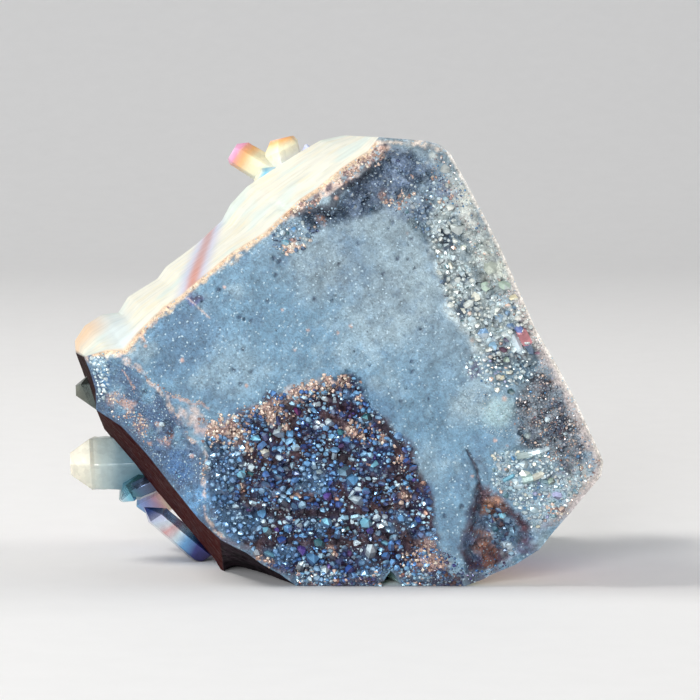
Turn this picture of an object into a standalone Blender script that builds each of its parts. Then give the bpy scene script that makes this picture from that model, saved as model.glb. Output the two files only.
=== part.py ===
"""Aura quartz cluster.

One big quartz crystal lies on its side. Its broken, frosted end faces -Y and carries small druse crystals in
shallow hollows. Its prism faces run back along +Y to a blunt termination, and smaller quartz points grow around
its left side, upper left and back. All of it is grown together, so the cluster is one closed solid. It rests on a
flat patch at Z = 0.

All lengths below are in millimetres and all angles in degrees.
"""
import math
import random

import bmesh
import bpy
from mathutils import Matrix, Vector, geometry, noise

MM = 0.001                     # one millimetre in metres
NODE_NAME = "quartz_cluster"
DRUSE_SEED = 41
POINT_SEED = 15
FACE_LEAN = 5.0                # the broken face leans back by this angle

# Corners of the big crystal, anticlockwise as seen from the front. Each has its place on the broken face (x, z)
# and on the shoulder behind it, where the prism ends (x, y, z).
LEFT_TIP = ((-21.7, 19.4), (-23.6, 19.0, 18.4))
LEFT_FOOT = ((-20.7, 14.8), (-21.0, 18.0, 11.6))
LOWER_LEFT = ((-9.9, 4.0), (-9.9, 9.5, 0.0))
BASE_LEFT = ((-3.0, 0.1), (-9.5, 17.0, 0.0))
BASE_RIGHT = ((12.6, 0.7), (8.0, 19.0, 0.0))
RIGHT_FOOT = ((18.6, 4.6), (13.4, 20.0, 4.4))
RIGHT_CORNER = ((22.9, 10.6), (16.8, 20.5, 11.0))
TOP_RIGHT = ((8.8, 37.7), (3.6, 21.0, 35.9))
TOP_LEFT = ((3.7, 38.3), (0.6, 21.0, 38.0))

# Small irregular steps of the broken edge on the way from each corner to the next, (x, z).
EDGE_STEPS = (
    (LEFT_TIP, ((-21.2, 18.3), (-20.7, 16.6))),
    (LEFT_FOOT, ((-18.5, 13.5), (-16.2, 11.0), (-14.0, 8.3), (-11.8, 5.7))),
    (LOWER_LEFT, ((-7.7, 2.9), (-6.2, 1.8), (-4.4, 0.8))),
    (BASE_LEFT, ((-0.9, 0.2), (2.3, 0.1), (4.1, 0.6), (4.7, 1.3), (5.6, 0.4), (7.7, 0.1), (10.6, 0.2))),
    (BASE_RIGHT, ((15.3, 1.8), (17.4, 3.1))),
    (RIGHT_FOOT, ((20.2, 6.4), (21.6, 8.1), (22.7, 9.4))),
    (RIGHT_CORNER, ((22.2, 12.2), (20.4, 16.1), (18.7, 19.2), (17.1, 21.9), (15.9, 24.7), (14.2, 28.6),
                    (13.0, 31.0), (11.6, 33.6), (9.8, 36.9))),
    (TOP_RIGHT, ((7.5, 38.0),)),
    (TOP_LEFT, ((2.8, 37.1), (0.6, 35.7), (-1.6, 33.9), (-3.0, 33.0), (-6.1, 30.1), (-8.9, 28.4), (-11.8, 26.0),
                (-13.3, 24.7), (-14.8, 23.7), (-17.0, 21.5), (-18.1, 20.1), (-19.7, 20.0))),
)
EDGE_SPACING = 1.25            # longest edge between two points of the broken rim
REST_BAND = 0.45               # rim points lower than this lie on the resting patch

# The upper left prism face ends at a ragged shoulder: (share of the way from TOP_LEFT to LEFT_TIP, rise).
SHOULDER_WAVE = ((0.0, 0.0), (0.06, 0.95), (0.14, 1.35), (0.31, 1.9), (0.38, 1.6), (0.43, 0.95), (0.53, 0.75),
                 (0.64, 0.9), (0.68, 0.55), (0.78, 0.95), (0.83, 0.4), (0.87, 1.2), (0.93, 1.4), (0.98, 0.9),
                 (1.0, 0.0))
SHOULDER_NORMAL = Vector((-0.63, 0.0, 0.78))

# Rings of the prism: (share of the way back, how much of the broken edge's irregular line is left).
PRISM_RINGS = ((0.0, 1.0), (0.08, 0.7), (0.45, 0.25), (1.0, 0.0))

# The far end is a blunt termination that closes on a short ridge, (x, y, z).
RIDGE_HIGH = (-7.6, 30.5, 21.5)
RIDGE_LOW = (-4.6, 31.5, 14.0)

# Relief of the broken face. Outlines are (x, z), depths say how far the stone lies behind the leaning plane.
BEVEL_RIDGE = ((-18.1, 20.1), (-15.6, 17.4), (-13.6, 15.2), (-11.8, 12.1), (-11.2, 9.1), (-10.5, 5.9), (-9.4, 3.4))
BEVEL_FACET = ((-18.1, 30.0), *BEVEL_RIDGE, (-9.4, -10.0), (-40.0, -10.0), (-40.0, 30.0))
BEVEL_SLOPE = 0.42             # the left facet falls back by this much per millimetre
HOLLOW = ((-3.1, 31.6), (-0.1, 32.2), (1.4, 34.4), (3.2, 35.4), (4.2, 37.2), (6.5, 37.2), (7.5, 36.1),
          (8.4, 34.8), (7.1, 33.8), (5.1, 32.8), (3.4, 32.1), (1.2, 31.4), (-1.6, 30.6))
DRUSE_PATCH = ((-11.2, 12.4), (-8.6, 13.9), (-6.3, 15.0), (-3.1, 16.4), (1.2, 18.4), (2.2, 17.1), (4.2, 13.9),
               (6.3, 11.3), (7.6, 8.3), (8.0, 5.7), (7.6, 2.6), (6.6, 0.9), (4.7, 1.6), (1.0, 0.5), (-3.0, 0.4),
               (-7.0, 2.9), (-9.6, 5.2), (-10.3, 7.4), (-10.9, 10.0))
CAVITY = ((12.0, 9.0), (13.4, 7.6), (16.2, 5.6), (16.8, 4.3), (15.3, 2.9), (12.8, 1.4), (11.0, 1.2), (10.9, 3.0),
          (11.6, 5.0), (12.0, 7.0))
RIGHT_CRUST = ((7.6, 33.6), (12.2, 30.2), (15.2, 24.8), (17.6, 20.0), (16.6, 17.6), (13.6, 17.2), (12.4, 20.2),
               (9.6, 24.4), (8.4, 28.6), (6.2, 31.0))
DARK_DRUSE = ((15.3, 15.9), (17.4, 18.6), (19.0, 17.0), (20.6, 13.4), (21.4, 11.4), (20.2, 9.4), (18.5, 11.2),
              (15.8, 12.2))
CRACK = ((11.1, 11.6), (11.8, 9.7), (12.4, 8.2))

# (outline, depth, width of the sloping wall)
SUNKEN_ZONES = ((HOLLOW, 1.5, 0.6), (DRUSE_PATCH, 0.9, 0.5), (CAVITY, 2.1, 0.7), (RIGHT_CRUST, 0.35, 0.6),
                (DARK_DRUSE, 0.45, 0.5))
PITS = ((-14.4, 13.6, 0.8, 1.0), (16.9, 20.0, 0.9, 1.0), (-4.0, 31.8, 0.6, 0.5))     # x, z, radius, depth
LEDGES = (((15.2, 11.3), (18.4, 11.8), 0.5), ((15.8, 9.2), (17.8, 9.8), 0.6))        # start, end, height
CRACK_WIDTH = 0.5
CRACK_DEPTH = 0.9
LEDGE_WIDTH = 0.8
RIM_WIDTH = 0.9                # the edge of the face is broken away over this width
RIM_DEPTH = 0.5
SWELL = 0.35                   # slow waves of the whole face
SWELL_SIZE = 9.0
LUMP = 0.16                    # small lumps of the whole face
LUMP_SIZE = 1.7
WALL_FOOT = 1.3                # the foot of a zone's wall is drawn this many wall widths inside its top
FACE_SPACING = 1.15            # spacing of the points in the plain parts of the face
FACE_JITTER = (0.2, 0.8)       # where a loose point may lie in its cell of the grid
CLOSEST_POINTS = 0.42          # shortest distance between loose points, as a share of the spacing
RIM_CLEARANCE = 0.45           # inner points stay this far from the edge of the face
RIDGE_SPACING = 0.9
CRACK_SPACING = 0.6

# Crystals of the druse: (outline, number, smallest radius, largest radius, height as a share of the radius).
DRUSE = ((DRUSE_PATCH, 190, 0.34, 0.95, 0.95), (DARK_DRUSE, 22, 0.33, 0.6, 0.8), (RIGHT_CRUST, 60, 0.36, 0.85, 0.5),
         (CAVITY, 9, 0.4, 0.75, 0.7), (HOLLOW, 14, 0.33, 0.6, 0.6))
DRUSE_GAP = 0.1                # clearance between two crystals' feet
DRUSE_CLEARANCE = 0.2          # clearance between a crystal's foot and the loose points of the face
DRUSE_INSET = 0.7              # a crystal's centre lies at least this share of its radius inside its zone
DRUSE_TRIES = 4000
DRUSE_FILLING = 3              # the smallest crystals come after this part of the tries
DRUSE_HEIGHTS = (0.75, 1.3)    # shares of a crystal's height
DRUSE_STRETCH = (0.75, 1.0)    # width of a crystal over its length
DRUSE_LEAN = 0.3               # a tip is off its foot's middle by up to this share of the radius
STOUT_RADIUS = 0.62            # crystals from this radius up have a prism below their tip
STOUT_SHOULDER = (0.74, 0.62)  # the shoulder's size and height as shares of the foot's and the tip's

# Quartz points around the big crystal: root (x, y, z), direction, length, radius, spin, flattening, blunting.
# Those that show from the front come first, then those of the back.
QUARTZ_POINTS = (
    ((-14.5, 17.5, 8.7), (-1.0, -0.08, -0.02), 10.9, 2.9, 4.0, 1.0, 0.42),      # stout milky point, low on the left
    ((-19.5, 12.5, 15.4), (-1.0, -0.1, -0.03), 4.2, 2.1, 90.0, 0.55, 0.25),     # blade beside the left tip
    ((-16.5, 16.0, 8.0), (-0.72, -0.35, -0.6), 4.2, 1.1, 5.0, 1.0, 0.2),        # three under the stout point
    ((-15.5, 15.0, 7.4), (-0.8, -0.1, -0.35), 3.9, 1.0, 25.0, 1.0, 0.0),
    ((-17.5, 17.5, 7.6), (-0.5, 0.1, -0.6), 3.6, 1.3, 40.0, 1.0, 0.2),
    ((-6.0, 16.0, 4.0), (-0.85, 0.1, -0.33), 7.6, 2.3, 10.0, 1.0, 0.4),         # foot under the lower left face
    ((-11.6, 15.6, 0.3), (-0.74, -0.05, 0.64), 7.3, 1.4, 18.0, 0.9, 0.0),       # long point along the lower left
    ((-5.3, 24.0, 34.0), (-0.82, 0.0, 0.5), 6.0, 1.6, 20.0, 1.0, 0.6),          # stubs on the upper left shoulder
    ((-4.2, 24.0, 32.6), (-0.25, 0.05, 1.0), 6.6, 2.2, 5.0, 1.0, 0.6),
    ((-4.0, 22.5, 32.4), (-0.8, -0.2, 0.5), 4.8, 1.7, 33.0, 1.0, 0.5),
    ((-2.2, 22.5, 34.4), (-0.2, 0.0, 1.0), 3.0, 0.8, 12.0, 1.0, 0.2),
    ((5.0, 17.0, 15.5), (0.6, 0.8, 0.06), 21.0, 4.8, 14.0, 1.0, 0.0),           # big points of the back
    ((-11.0, 16.5, 12.0), (-0.46, 0.88, -0.1), 17.0, 4.1, 22.0, 1.0, 0.0),
    ((3.0, 17.0, 26.0), (0.42, 0.86, 0.26), 16.5, 3.5, 40.0, 0.9, 0.0),
    ((7.0, 16.0, 5.6), (0.5, 0.86, -0.05), 18.0, 3.3, 8.0, 1.0, 0.0),
    ((1.5, 18.0, 4.2), (0.14, 0.98, 0.0), 17.0, 3.0, 27.0, 1.0, 0.0),
    ((-7.5, 17.0, 4.0), (-0.3, 0.95, 0.02), 15.0, 2.9, 35.0, 1.0, 0.0),
    ((-9.5, 17.0, 21.5), (-0.4, 0.9, 0.17), 14.0, 3.0, 3.0, 1.0, 0.0),
    ((-2.5, 19.0, 28.0), (-0.14, 0.9, 0.4), 13.0, 2.7, 16.0, 1.0, 0.0),
    ((1.5, 19.0, 31.0), (0.14, 0.92, 0.34), 11.0, 2.0, 31.0, 1.0, 0.0),
    ((8.5, 17.0, 20.5), (0.6, 0.78, 0.16), 12.0, 2.4, 27.0, 1.0, 0.0),
    ((12.0, 16.5, 10.5), (0.8, 0.6, -0.06), 10.0, 2.2, 50.0, 1.0, 0.0),
    ((13.0, 17.0, 5.2), (0.75, 0.62, -0.2), 7.5, 1.7, 20.0, 1.0, 0.0),
    ((-15.5, 16.0, 17.0), (-0.5, 0.86, 0.1), 9.8, 2.2, 11.0, 1.0, 0.0),
    ((-14.0, 16.5, 6.6), (-0.42, 0.86, -0.3), 9.0, 1.9, 44.0, 1.0, 0.0),
    ((0.0, 22.0, 11.0), (0.1, 0.98, -0.1), 12.0, 2.0, 9.0, 1.0, 0.0),
    ((-6.0, 24.0, 27.0), (-0.3, 0.9, 0.3), 7.5, 1.5, 19.0, 1.0, 0.0),
    ((3.5, 22.0, 21.0), (0.3, 0.9, 0.25), 11.5, 2.0, 38.0, 1.0, 0.0),
)
SMALL_POINTS = 26              # small points sown over the termination between the big ones
SMALL_LENGTH = (3.0, 5.5)
SMALL_RADIUS = (0.7, 1.3)
SMALL_PLACES = (0.25, 0.85)    # shares of the way from the ridge to the shoulder
SMALL_LEAN = (0.25, 0.9)       # how far the small points lean out
SMALL_ROOT = 0.45              # share of a small point's length that is sunk in
LOW_PLACE = 5.0                # small points below this height never lean down
TIP_SLOPE = 1.27               # height of a quartz tip over its radius
TIP_SHIFT = 0.22               # a tip is off its axis by up to this share of the radius
CORNER_REACH = (0.88, 1.1)     # shares of the radius at the corners of a point
SHORTEST_PRISM = 0.25          # a point's shoulders lie at least this share of its length above its root
SHORTEST_SLOPE = 0.15          # a blunted tip keeps at least this share of its slopes
TAPER = 0.9                    # a point is this much narrower at its shoulder than at its root
POINT_LIFT = 0.06              # the small points stay this much above the resting surface

ORIGIN = (-0.58, 17.41)        # middle of the footprint box, (x, y)


def smooth(value, low, high):
    share = min(1.0, max(0.0, (value - low) / (high - low)))
    return share * share * (3.0 - 2.0 * share)


def between(start, end, share):
    return tuple(a + (b - a) * share for a, b in zip(start, end))


def segment_distance(point, start, end):
    run, rise = end[0] - start[0], end[1] - start[1]
    share = ((point[0] - start[0]) * run + (point[1] - start[1]) * rise) / (run * run + rise * rise)
    share = min(1.0, max(0.0, share))
    return math.hypot(point[0] - start[0] - share * run, point[1] - start[1] - share * rise)


def path_distance(point, path):
    return min(segment_distance(point, start, end) for start, end in zip(path, path[1:]))


def inside_distance(point, outline):
    """Distance to a closed outline, positive inside it and negative outside."""
    inside = False
    for (x0, z0), (x1, z1) in zip(outline, outline[1:] + outline[:1]):
        if (z0 > point[1]) != (z1 > point[1]) and point[0] < (x1 - x0) * (point[1] - z0) / (z1 - z0) + x0:
            inside = not inside
    distance = path_distance(point, outline + outline[:1])
    return distance if inside else -distance


def ripple(point, size, height, layer):
    return height * noise.noise(Vector((point[0] / size, point[1] / size, layer)))


def face_depth(point):
    """How far the broken face lies behind its leaning plane at (x, z), without its crystals."""
    depth = BEVEL_SLOPE * max(0.0, inside_distance(point, BEVEL_FACET))
    depth += sum(sunk * smooth(inside_distance(point, zone), 0.0, wall) for zone, sunk, wall in SUNKEN_ZONES)
    depth += CRACK_DEPTH * (1.0 - smooth(path_distance(point, CRACK), 0.0, CRACK_WIDTH))
    for x, z, radius, sunk in PITS:
        depth += sunk * (1.0 - smooth(math.hypot(point[0] - x, point[1] - z), 0.2 * radius, radius))
    for start, end, height in LEDGES:
        depth -= height * (1.0 - smooth(segment_distance(point, start, end), 0.3 * LEDGE_WIDTH, LEDGE_WIDTH))
    rim = path_distance(point, RIM_LINE + RIM_LINE[:1])
    depth += RIM_DEPTH * (1.0 - smooth(rim, 0.0, RIM_WIDTH))
    return depth + ripple(point, SWELL_SIZE, SWELL, 1.0) + ripple(point, LUMP_SIZE, LUMP, 2.0)


def on_face(point, depth):
    """The place in space of a point of the broken face."""
    x, z = point
    return Vector((x, z * math.tan(math.radians(FACE_LEAN)) + depth, z))


def rim_points():
    """Points of the broken edge, each as (front point, straight front point, shoulder point)."""
    corners = [corner for corner, _ in EDGE_STEPS]
    rim = []
    for index, (corner, steps) in enumerate(EDGE_STEPS):
        following = corners[(index + 1) % len(corners)]
        line = refine([corner[0], *steps, following[0]], EDGE_SPACING)
        travelled = [0.0]
        for start, end in zip(line, line[1:]):
            travelled.append(travelled[-1] + math.dist(start, end))
        for point, distance in zip(line[:-1], travelled):
            share = distance / travelled[-1]
            shoulder = Vector(between(corner[1], following[1], share))
            if corner is TOP_LEFT:
                shoulder += SHOULDER_NORMAL * shoulder_rise(share)
            rim.append((point, between(corner[0], following[0], share), shoulder))
    return rim


def refine(line, spacing):
    """The same line with its long stretches divided."""
    points = [line[0]]
    for start, end in zip(line, line[1:]):
        steps = max(1, math.ceil(math.dist(start, end) / spacing))
        points += [between(start, end, step / steps) for step in range(1, steps + 1)]
    return points


def shoulder_rise(share):
    for (start, low), (end, high) in zip(SHOULDER_WAVE, SHOULDER_WAVE[1:]):
        if share <= end:
            return low + (high - low) * (share - start) / (end - start)
    return 0.0


RIM = rim_points()
RIM_LINE = tuple(front for front, _, _ in RIM)


def druse_crystals(dice):
    """Places of the druse crystals as (centre, radius, height), big ones first, none overlapping."""
    crystals = []
    for zone, count, smallest, largest, steepness in DRUSE:
        low_x, high_x = min(x for x, _ in zone), max(x for x, _ in zone)
        low_z, high_z = min(z for _, z in zone), max(z for _, z in zone)
        placed = 0
        for attempt in range(DRUSE_TRIES):
            if placed == count:
                break
            radius = largest - (largest - smallest) * smooth(attempt, 0, DRUSE_TRIES / DRUSE_FILLING)
            centre = (dice.uniform(low_x, high_x), dice.uniform(low_z, high_z))
            height = radius * steepness * dice.uniform(*DRUSE_HEIGHTS)
            if inside_distance(centre, zone) < DRUSE_INSET * radius:
                continue
            if inside_distance(centre, RIM_LINE) < radius + RIM_CLEARANCE:
                continue
            if any(path_distance(centre, line) < radius + DRUSE_GAP for line in (BEVEL_RIDGE, CRACK)):
                continue
            if any(math.dist(centre, other) < radius + size + DRUSE_GAP for other, size, _ in crystals):
                continue
            crystals.append((centre, radius, height))
            placed += 1
    return crystals


def crystal_rings(centre, radius, height, dice):
    """Foot, shoulder and tip of one druse crystal as lists of ((x, z), height above its ground)."""
    sides = dice.choice((5, 6, 6))
    spin = dice.uniform(0.0, math.tau)
    stretch = dice.uniform(*DRUSE_STRETCH)
    lean = [dice.uniform(-DRUSE_LEAN, DRUSE_LEAN) * radius for _ in range(2)]
    rings = [(1.0, 0.0)]
    if radius >= STOUT_RADIUS:
        rings.append((STOUT_SHOULDER[0], STOUT_SHOULDER[1] * height))
    feet = []
    for scale, lift in rings:
        ring = []
        for side in range(sides):
            angle = math.tau * side / sides
            across = scale * radius * math.cos(angle)
            up = scale * radius * stretch * math.sin(angle)
            share = 1.0 - scale
            x = centre[0] + across * math.cos(spin) - up * math.sin(spin) + lean[0] * share
            z = centre[1] + across * math.sin(spin) + up * math.cos(spin) + lean[1] * share
            ring.append(((x, z), lift))
        feet.append(ring)
    tip = ((centre[0] + lean[0], centre[1] + lean[1]), height)
    return feet, tip


def zone_walls():
    """Points along the top and the foot of every sunken zone's wall."""
    points = []
    for zone, _, wall in SUNKEN_ZONES:
        middle = (sum(x for x, _ in zone) / len(zone), sum(z for _, z in zone) / len(zone))
        for point in refine([*zone, zone[0]], FACE_SPACING)[:-1]:
            points.append(point)
            points.append(between(point, middle, WALL_FOOT * wall / math.dist(point, middle)))
    return points


def face_points(dice):
    """Points and fixed edges of the broken face, with each point's depth."""
    places = list(RIM_LINE)
    depths = [face_depth(point) for point in RIM_LINE]
    edges = [(i, (i + 1) % len(places)) for i in range(len(places))]
    crystals = druse_crystals(dice)
    for centre, radius, height in crystals:
        feet, tip = crystal_rings(centre, radius, height, dice)
        ground = face_depth(centre)
        for ring in feet:
            first = len(places)
            places += [point for point, _ in ring]
            depths += [max(ground, face_depth(point)) - lift if lift == 0.0 else ground - lift
                       for point, lift in ring]
            edges += [(first + i, first + (i + 1) % len(ring)) for i in range(len(ring))]
        places.append(tip[0])
        depths.append(ground - tip[1])
    for line in (refine(BEVEL_RIDGE, RIDGE_SPACING), refine(CRACK, CRACK_SPACING)):
        line = [point for point in line if inside_distance(point, RIM_LINE) > RIM_CLEARANCE]
        first = len(places)
        places += line
        depths += [face_depth(point) for point in line]
        edges += [(first + i, first + i + 1) for i in range(len(line) - 1)]
    fixed = places[len(RIM_LINE):]
    loose = []
    for point in (*zone_walls(), *plain_grid(dice)):
        if inside_distance(point, RIM_LINE) < RIM_CLEARANCE:
            continue
        if any(math.dist(point, centre) < radius + DRUSE_CLEARANCE for centre, radius, _ in crystals):
            continue
        if any(math.dist(point, other) < CLOSEST_POINTS * FACE_SPACING for other in (*fixed, *loose)):
            continue
        loose.append(point)
    places += loose
    depths += [face_depth(point) for point in loose]
    return places, depths, edges


def plain_grid(dice):
    """A loose grid over the face."""
    low_x, high_x = LEFT_TIP[0][0], RIGHT_CORNER[0][0]
    columns = int((high_x - low_x) / FACE_SPACING)
    rows = int(TOP_LEFT[0][1] / FACE_SPACING)
    for column in range(columns + 1):
        for row in range(rows + 1):
            x = low_x + (column + dice.uniform(*FACE_JITTER)) * FACE_SPACING
            z = (row + dice.uniform(*FACE_JITTER)) * FACE_SPACING
            yield (x, z)


def big_crystal(dice):
    """The big crystal: broken face with its druse, prism faces and blunt termination."""
    places, depths, edges = face_points(dice)
    flat = [Vector(point) for point in places]
    corners, _, triangles, sources, _, _ = geometry.delaunay_2d_cdt(flat, edges, [], 1, 1e-5)
    shape = bmesh.new()
    front = []
    for corner, source in zip(corners, sources):
        vertex = shape.verts.new(on_face((corner.x, corner.y), depths[source[0]]))
        front.append(vertex)
    for triangle in triangles:
        shape.faces.new([front[i] for i in triangle])
    by_source = {source: vertex for vertex, ids in zip(front, sources) for source in ids}
    ring = [by_source[i] for i in range(len(RIM))]
    for share, irregular in PRISM_RINGS[1:]:
        following = [shape.verts.new(prism_point(point, share, irregular)) for point in RIM]
        bridge(shape, ring, following)
        ring = following
    close_termination(shape, ring)
    for vertex in shape.verts:
        if vertex.co.z < REST_BAND:
            vertex.co.z = 0.0
    bmesh.ops.recalc_face_normals(shape, faces=shape.faces)
    return as_object("big_crystal", shape)


def prism_point(rim_point, share, irregular):
    """A point of the prism faces, between the broken edge and the shoulder."""
    front, straight, shoulder = rim_point
    start = between(straight, front, irregular)
    return on_face(start, face_depth(front)).lerp(shoulder, share)


def bridge(shape, ring, following):
    count = len(ring)
    for i in range(count):
        j = (i + 1) % count
        shape.faces.new((ring[i], ring[j], following[j], following[i]))


def close_termination(shape, ring):
    """Closes the shoulder ring on a short ridge with the faces of a blunt quartz tip."""
    high, low = shape.verts.new(RIDGE_HIGH), shape.verts.new(RIDGE_LOW)
    middle = 0.5 * (RIDGE_HIGH[2] + RIDGE_LOW[2])
    ends = [high if vertex.co.z > middle else low for vertex in ring]
    for i, vertex in enumerate(ring):
        j = (i + 1) % len(ring)
        shape.faces.new((vertex, ring[j], ends[i]))
        if ends[i] is not ends[j]:
            shape.faces.new((ring[j], ends[j], ends[i]))


def quartz_point(root, direction, length, radius, spin, flattening, blunting, dice):
    """One six-sided quartz point with a pyramid tip, standing on its root. Blunting cuts off part of the tip."""
    shape = bmesh.new()
    shift_x, shift_y = (dice.uniform(-TIP_SHIFT, TIP_SHIFT) * radius for _ in range(2))
    tip = Vector((shift_x, shift_y, length))
    cut_height = length - blunting * TIP_SLOPE * TAPER * radius
    roots, shoulders, tops = [], [], []
    for side in range(6):
        angle = math.tau * side / 6.0
        reach = radius * dice.uniform(*CORNER_REACH)
        corner = Vector((reach * math.cos(angle), reach * math.sin(angle) * flattening, 0.0))
        shoulder = corner * TAPER
        drop = TIP_SLOPE * (shoulder - Vector((tip.x, tip.y, 0.0))).length
        shoulder.z = max(SHORTEST_PRISM * length, length - drop)
        roots.append(shape.verts.new(corner))
        shoulders.append(shape.verts.new(shoulder))
        if blunting:
            share = (cut_height - shoulder.z) / (length - shoulder.z)
            tops.append(shape.verts.new(shoulder.lerp(tip, max(SHORTEST_SLOPE, share))))
    shape.faces.new(list(reversed(roots)))
    bridge(shape, roots, shoulders)
    if blunting:
        bridge(shape, shoulders, tops)
        shape.faces.new(tops)
    else:
        top = shape.verts.new(tip)
        for side in range(6):
            shape.faces.new((shoulders[side], shoulders[(side + 1) % 6], top))
    turn = Vector(direction).to_track_quat("Z", "Y").to_matrix().to_4x4()
    shape.transform(Matrix.Translation(root) @ turn @ Matrix.Rotation(math.radians(spin), 4, "Z"))
    stand_clear(shape)
    bmesh.ops.recalc_face_normals(shape, faces=shape.faces)
    return as_object("quartz_point", shape)


def stand_clear(shape):
    """Cuts a point off just above the resting surface."""
    everything = shape.verts[:] + shape.edges[:] + shape.faces[:]
    bmesh.ops.bisect_plane(shape, geom=everything, plane_co=(0.0, 0.0, POINT_LIFT),
                           plane_no=(0.0, 0.0, -1.0), clear_outer=True)
    rim = [edge for edge in shape.edges if edge.is_boundary]
    if rim:
        bmesh.ops.holes_fill(shape, edges=rim)


def small_points(dice):
    """Small points sown over the termination, each leaning out from the crystal's axis."""
    ridge = Vector(between(RIDGE_HIGH, RIDGE_LOW, 0.5))
    for _ in range(SMALL_POINTS):
        _, _, shoulder = dice.choice(RIM)
        place = ridge.lerp(shoulder, dice.uniform(*SMALL_PLACES))
        outward = (place - ridge).normalized()
        lean = outward * dice.uniform(*SMALL_LEAN) + Vector((0.0, 1.0, 0.0))
        lean.z = abs(lean.z) if place.z < LOW_PLACE else lean.z
        radius = dice.uniform(*SMALL_RADIUS)
        length = dice.uniform(*SMALL_LENGTH)
        root = place - lean.normalized() * SMALL_ROOT * length
        root.z = max(root.z, radius)
        yield (root, lean, length, radius, dice.uniform(0.0, 60.0), 1.0, 0.0)


def as_object(name, shape):
    """Turns a shape in millimetres into an object in metres, around the cluster's origin."""
    shape.transform(Matrix.Scale(MM, 4) @ Matrix.Translation((-ORIGIN[0], -ORIGIN[1], 0.0)))
    mesh = bpy.data.meshes.new(name)
    shape.to_mesh(mesh)
    shape.free()
    thing = bpy.data.objects.new(name, mesh)
    bpy.context.collection.objects.link(thing)
    return thing


def grow_together(body, points):
    """Joins the quartz points with the big crystal into one solid."""
    for point in points:
        joint = body.modifiers.new("join_" + point.name, "BOOLEAN")
        joint.operation = "UNION"
        joint.solver = "EXACT"
        joint.object = point
        point.hide_render = True
        point.display_type = "WIRE"
    grown = bpy.data.meshes.new_from_object(body.evaluated_get(bpy.context.evaluated_depsgraph_get()))
    body.modifiers.clear()
    body.data = grown
    for point in points:
        bpy.data.objects.remove(point)


def aura_quartz():
    """Frosted blue-grey quartz with a thin metal coating."""
    material = bpy.data.materials.new("aura_quartz")
    material.use_nodes = True
    surface = material.node_tree.nodes["Principled BSDF"]
    surface.inputs["Base Color"].default_value = (0.22, 0.36, 0.5, 1.0)
    surface.inputs["Metallic"].default_value = 0.35
    surface.inputs["Roughness"].default_value = 0.35
    return material


def main():
    for thing in list(bpy.data.objects):
        bpy.data.objects.remove(thing)
    cluster = big_crystal(random.Random(DRUSE_SEED))
    dice = random.Random(POINT_SEED)
    points = [quartz_point(*values, dice) for values in (*QUARTZ_POINTS, *small_points(dice))]
    grow_together(cluster, points)
    cluster.name = NODE_NAME
    cluster.data.name = NODE_NAME
    cluster.data.materials.clear()
    cluster.data.materials.append(aura_quartz())


main()
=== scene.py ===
"""Looks of the aura quartz cluster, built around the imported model.

One big frosted crystal with druse and crusts on its broken front face, and smaller quartz points around it.
Shapes are in millimetres in the part's own drawing frame, and end up in metres around the model's origin.
"""

import math
import random

import bpy
import numpy as np
from mathutils import Matrix, Vector, geometry, noise


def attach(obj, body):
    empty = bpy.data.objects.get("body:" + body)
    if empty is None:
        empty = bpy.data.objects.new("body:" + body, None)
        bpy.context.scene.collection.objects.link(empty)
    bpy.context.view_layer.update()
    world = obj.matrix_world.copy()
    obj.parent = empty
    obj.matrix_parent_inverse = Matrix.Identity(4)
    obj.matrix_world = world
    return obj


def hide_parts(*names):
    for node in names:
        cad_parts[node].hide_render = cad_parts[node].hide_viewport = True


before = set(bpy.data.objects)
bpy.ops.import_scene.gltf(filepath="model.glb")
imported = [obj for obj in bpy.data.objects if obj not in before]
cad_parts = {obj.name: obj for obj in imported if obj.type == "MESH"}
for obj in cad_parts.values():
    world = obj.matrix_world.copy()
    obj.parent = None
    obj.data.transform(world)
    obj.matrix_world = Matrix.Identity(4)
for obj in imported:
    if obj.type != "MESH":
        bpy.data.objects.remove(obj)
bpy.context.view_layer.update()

MM = 0.001
ORIGIN = (-0.58, 17.41)        # middle of the footprint box, (x, y)
CAD_NODE = "quartz_cluster"

# ---------------------------------------------------------------- form of the part, as in its source
FACE_LEAN = 5.0                # degrees that the broken face leans back
# Corners of the prism: (place on the broken face, (x, z)), (place on the shoulder behind it, (x, y, z)).
LEFT_TIP = ((-21.7, 19.4), (-23.6, 19.0, 18.4))
LEFT_FOOT = ((-20.7, 14.8), (-21.0, 18.0, 11.6))
LOWER_LEFT = ((-9.9, 4.0), (-9.9, 9.5, 0.0))
BASE_LEFT = ((-3.0, 0.1), (-9.5, 17.0, 0.0))
BASE_RIGHT = ((12.6, 0.7), (8.0, 19.0, 0.0))
RIGHT_FOOT = ((18.6, 4.6), (13.4, 20.0, 4.4))
RIGHT_CORNER = ((22.9, 10.6), (16.8, 20.5, 11.0))
TOP_RIGHT = ((8.8, 37.7), (3.6, 21.0, 35.9))
TOP_LEFT = ((3.7, 38.3), (0.6, 21.0, 38.0))
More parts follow.
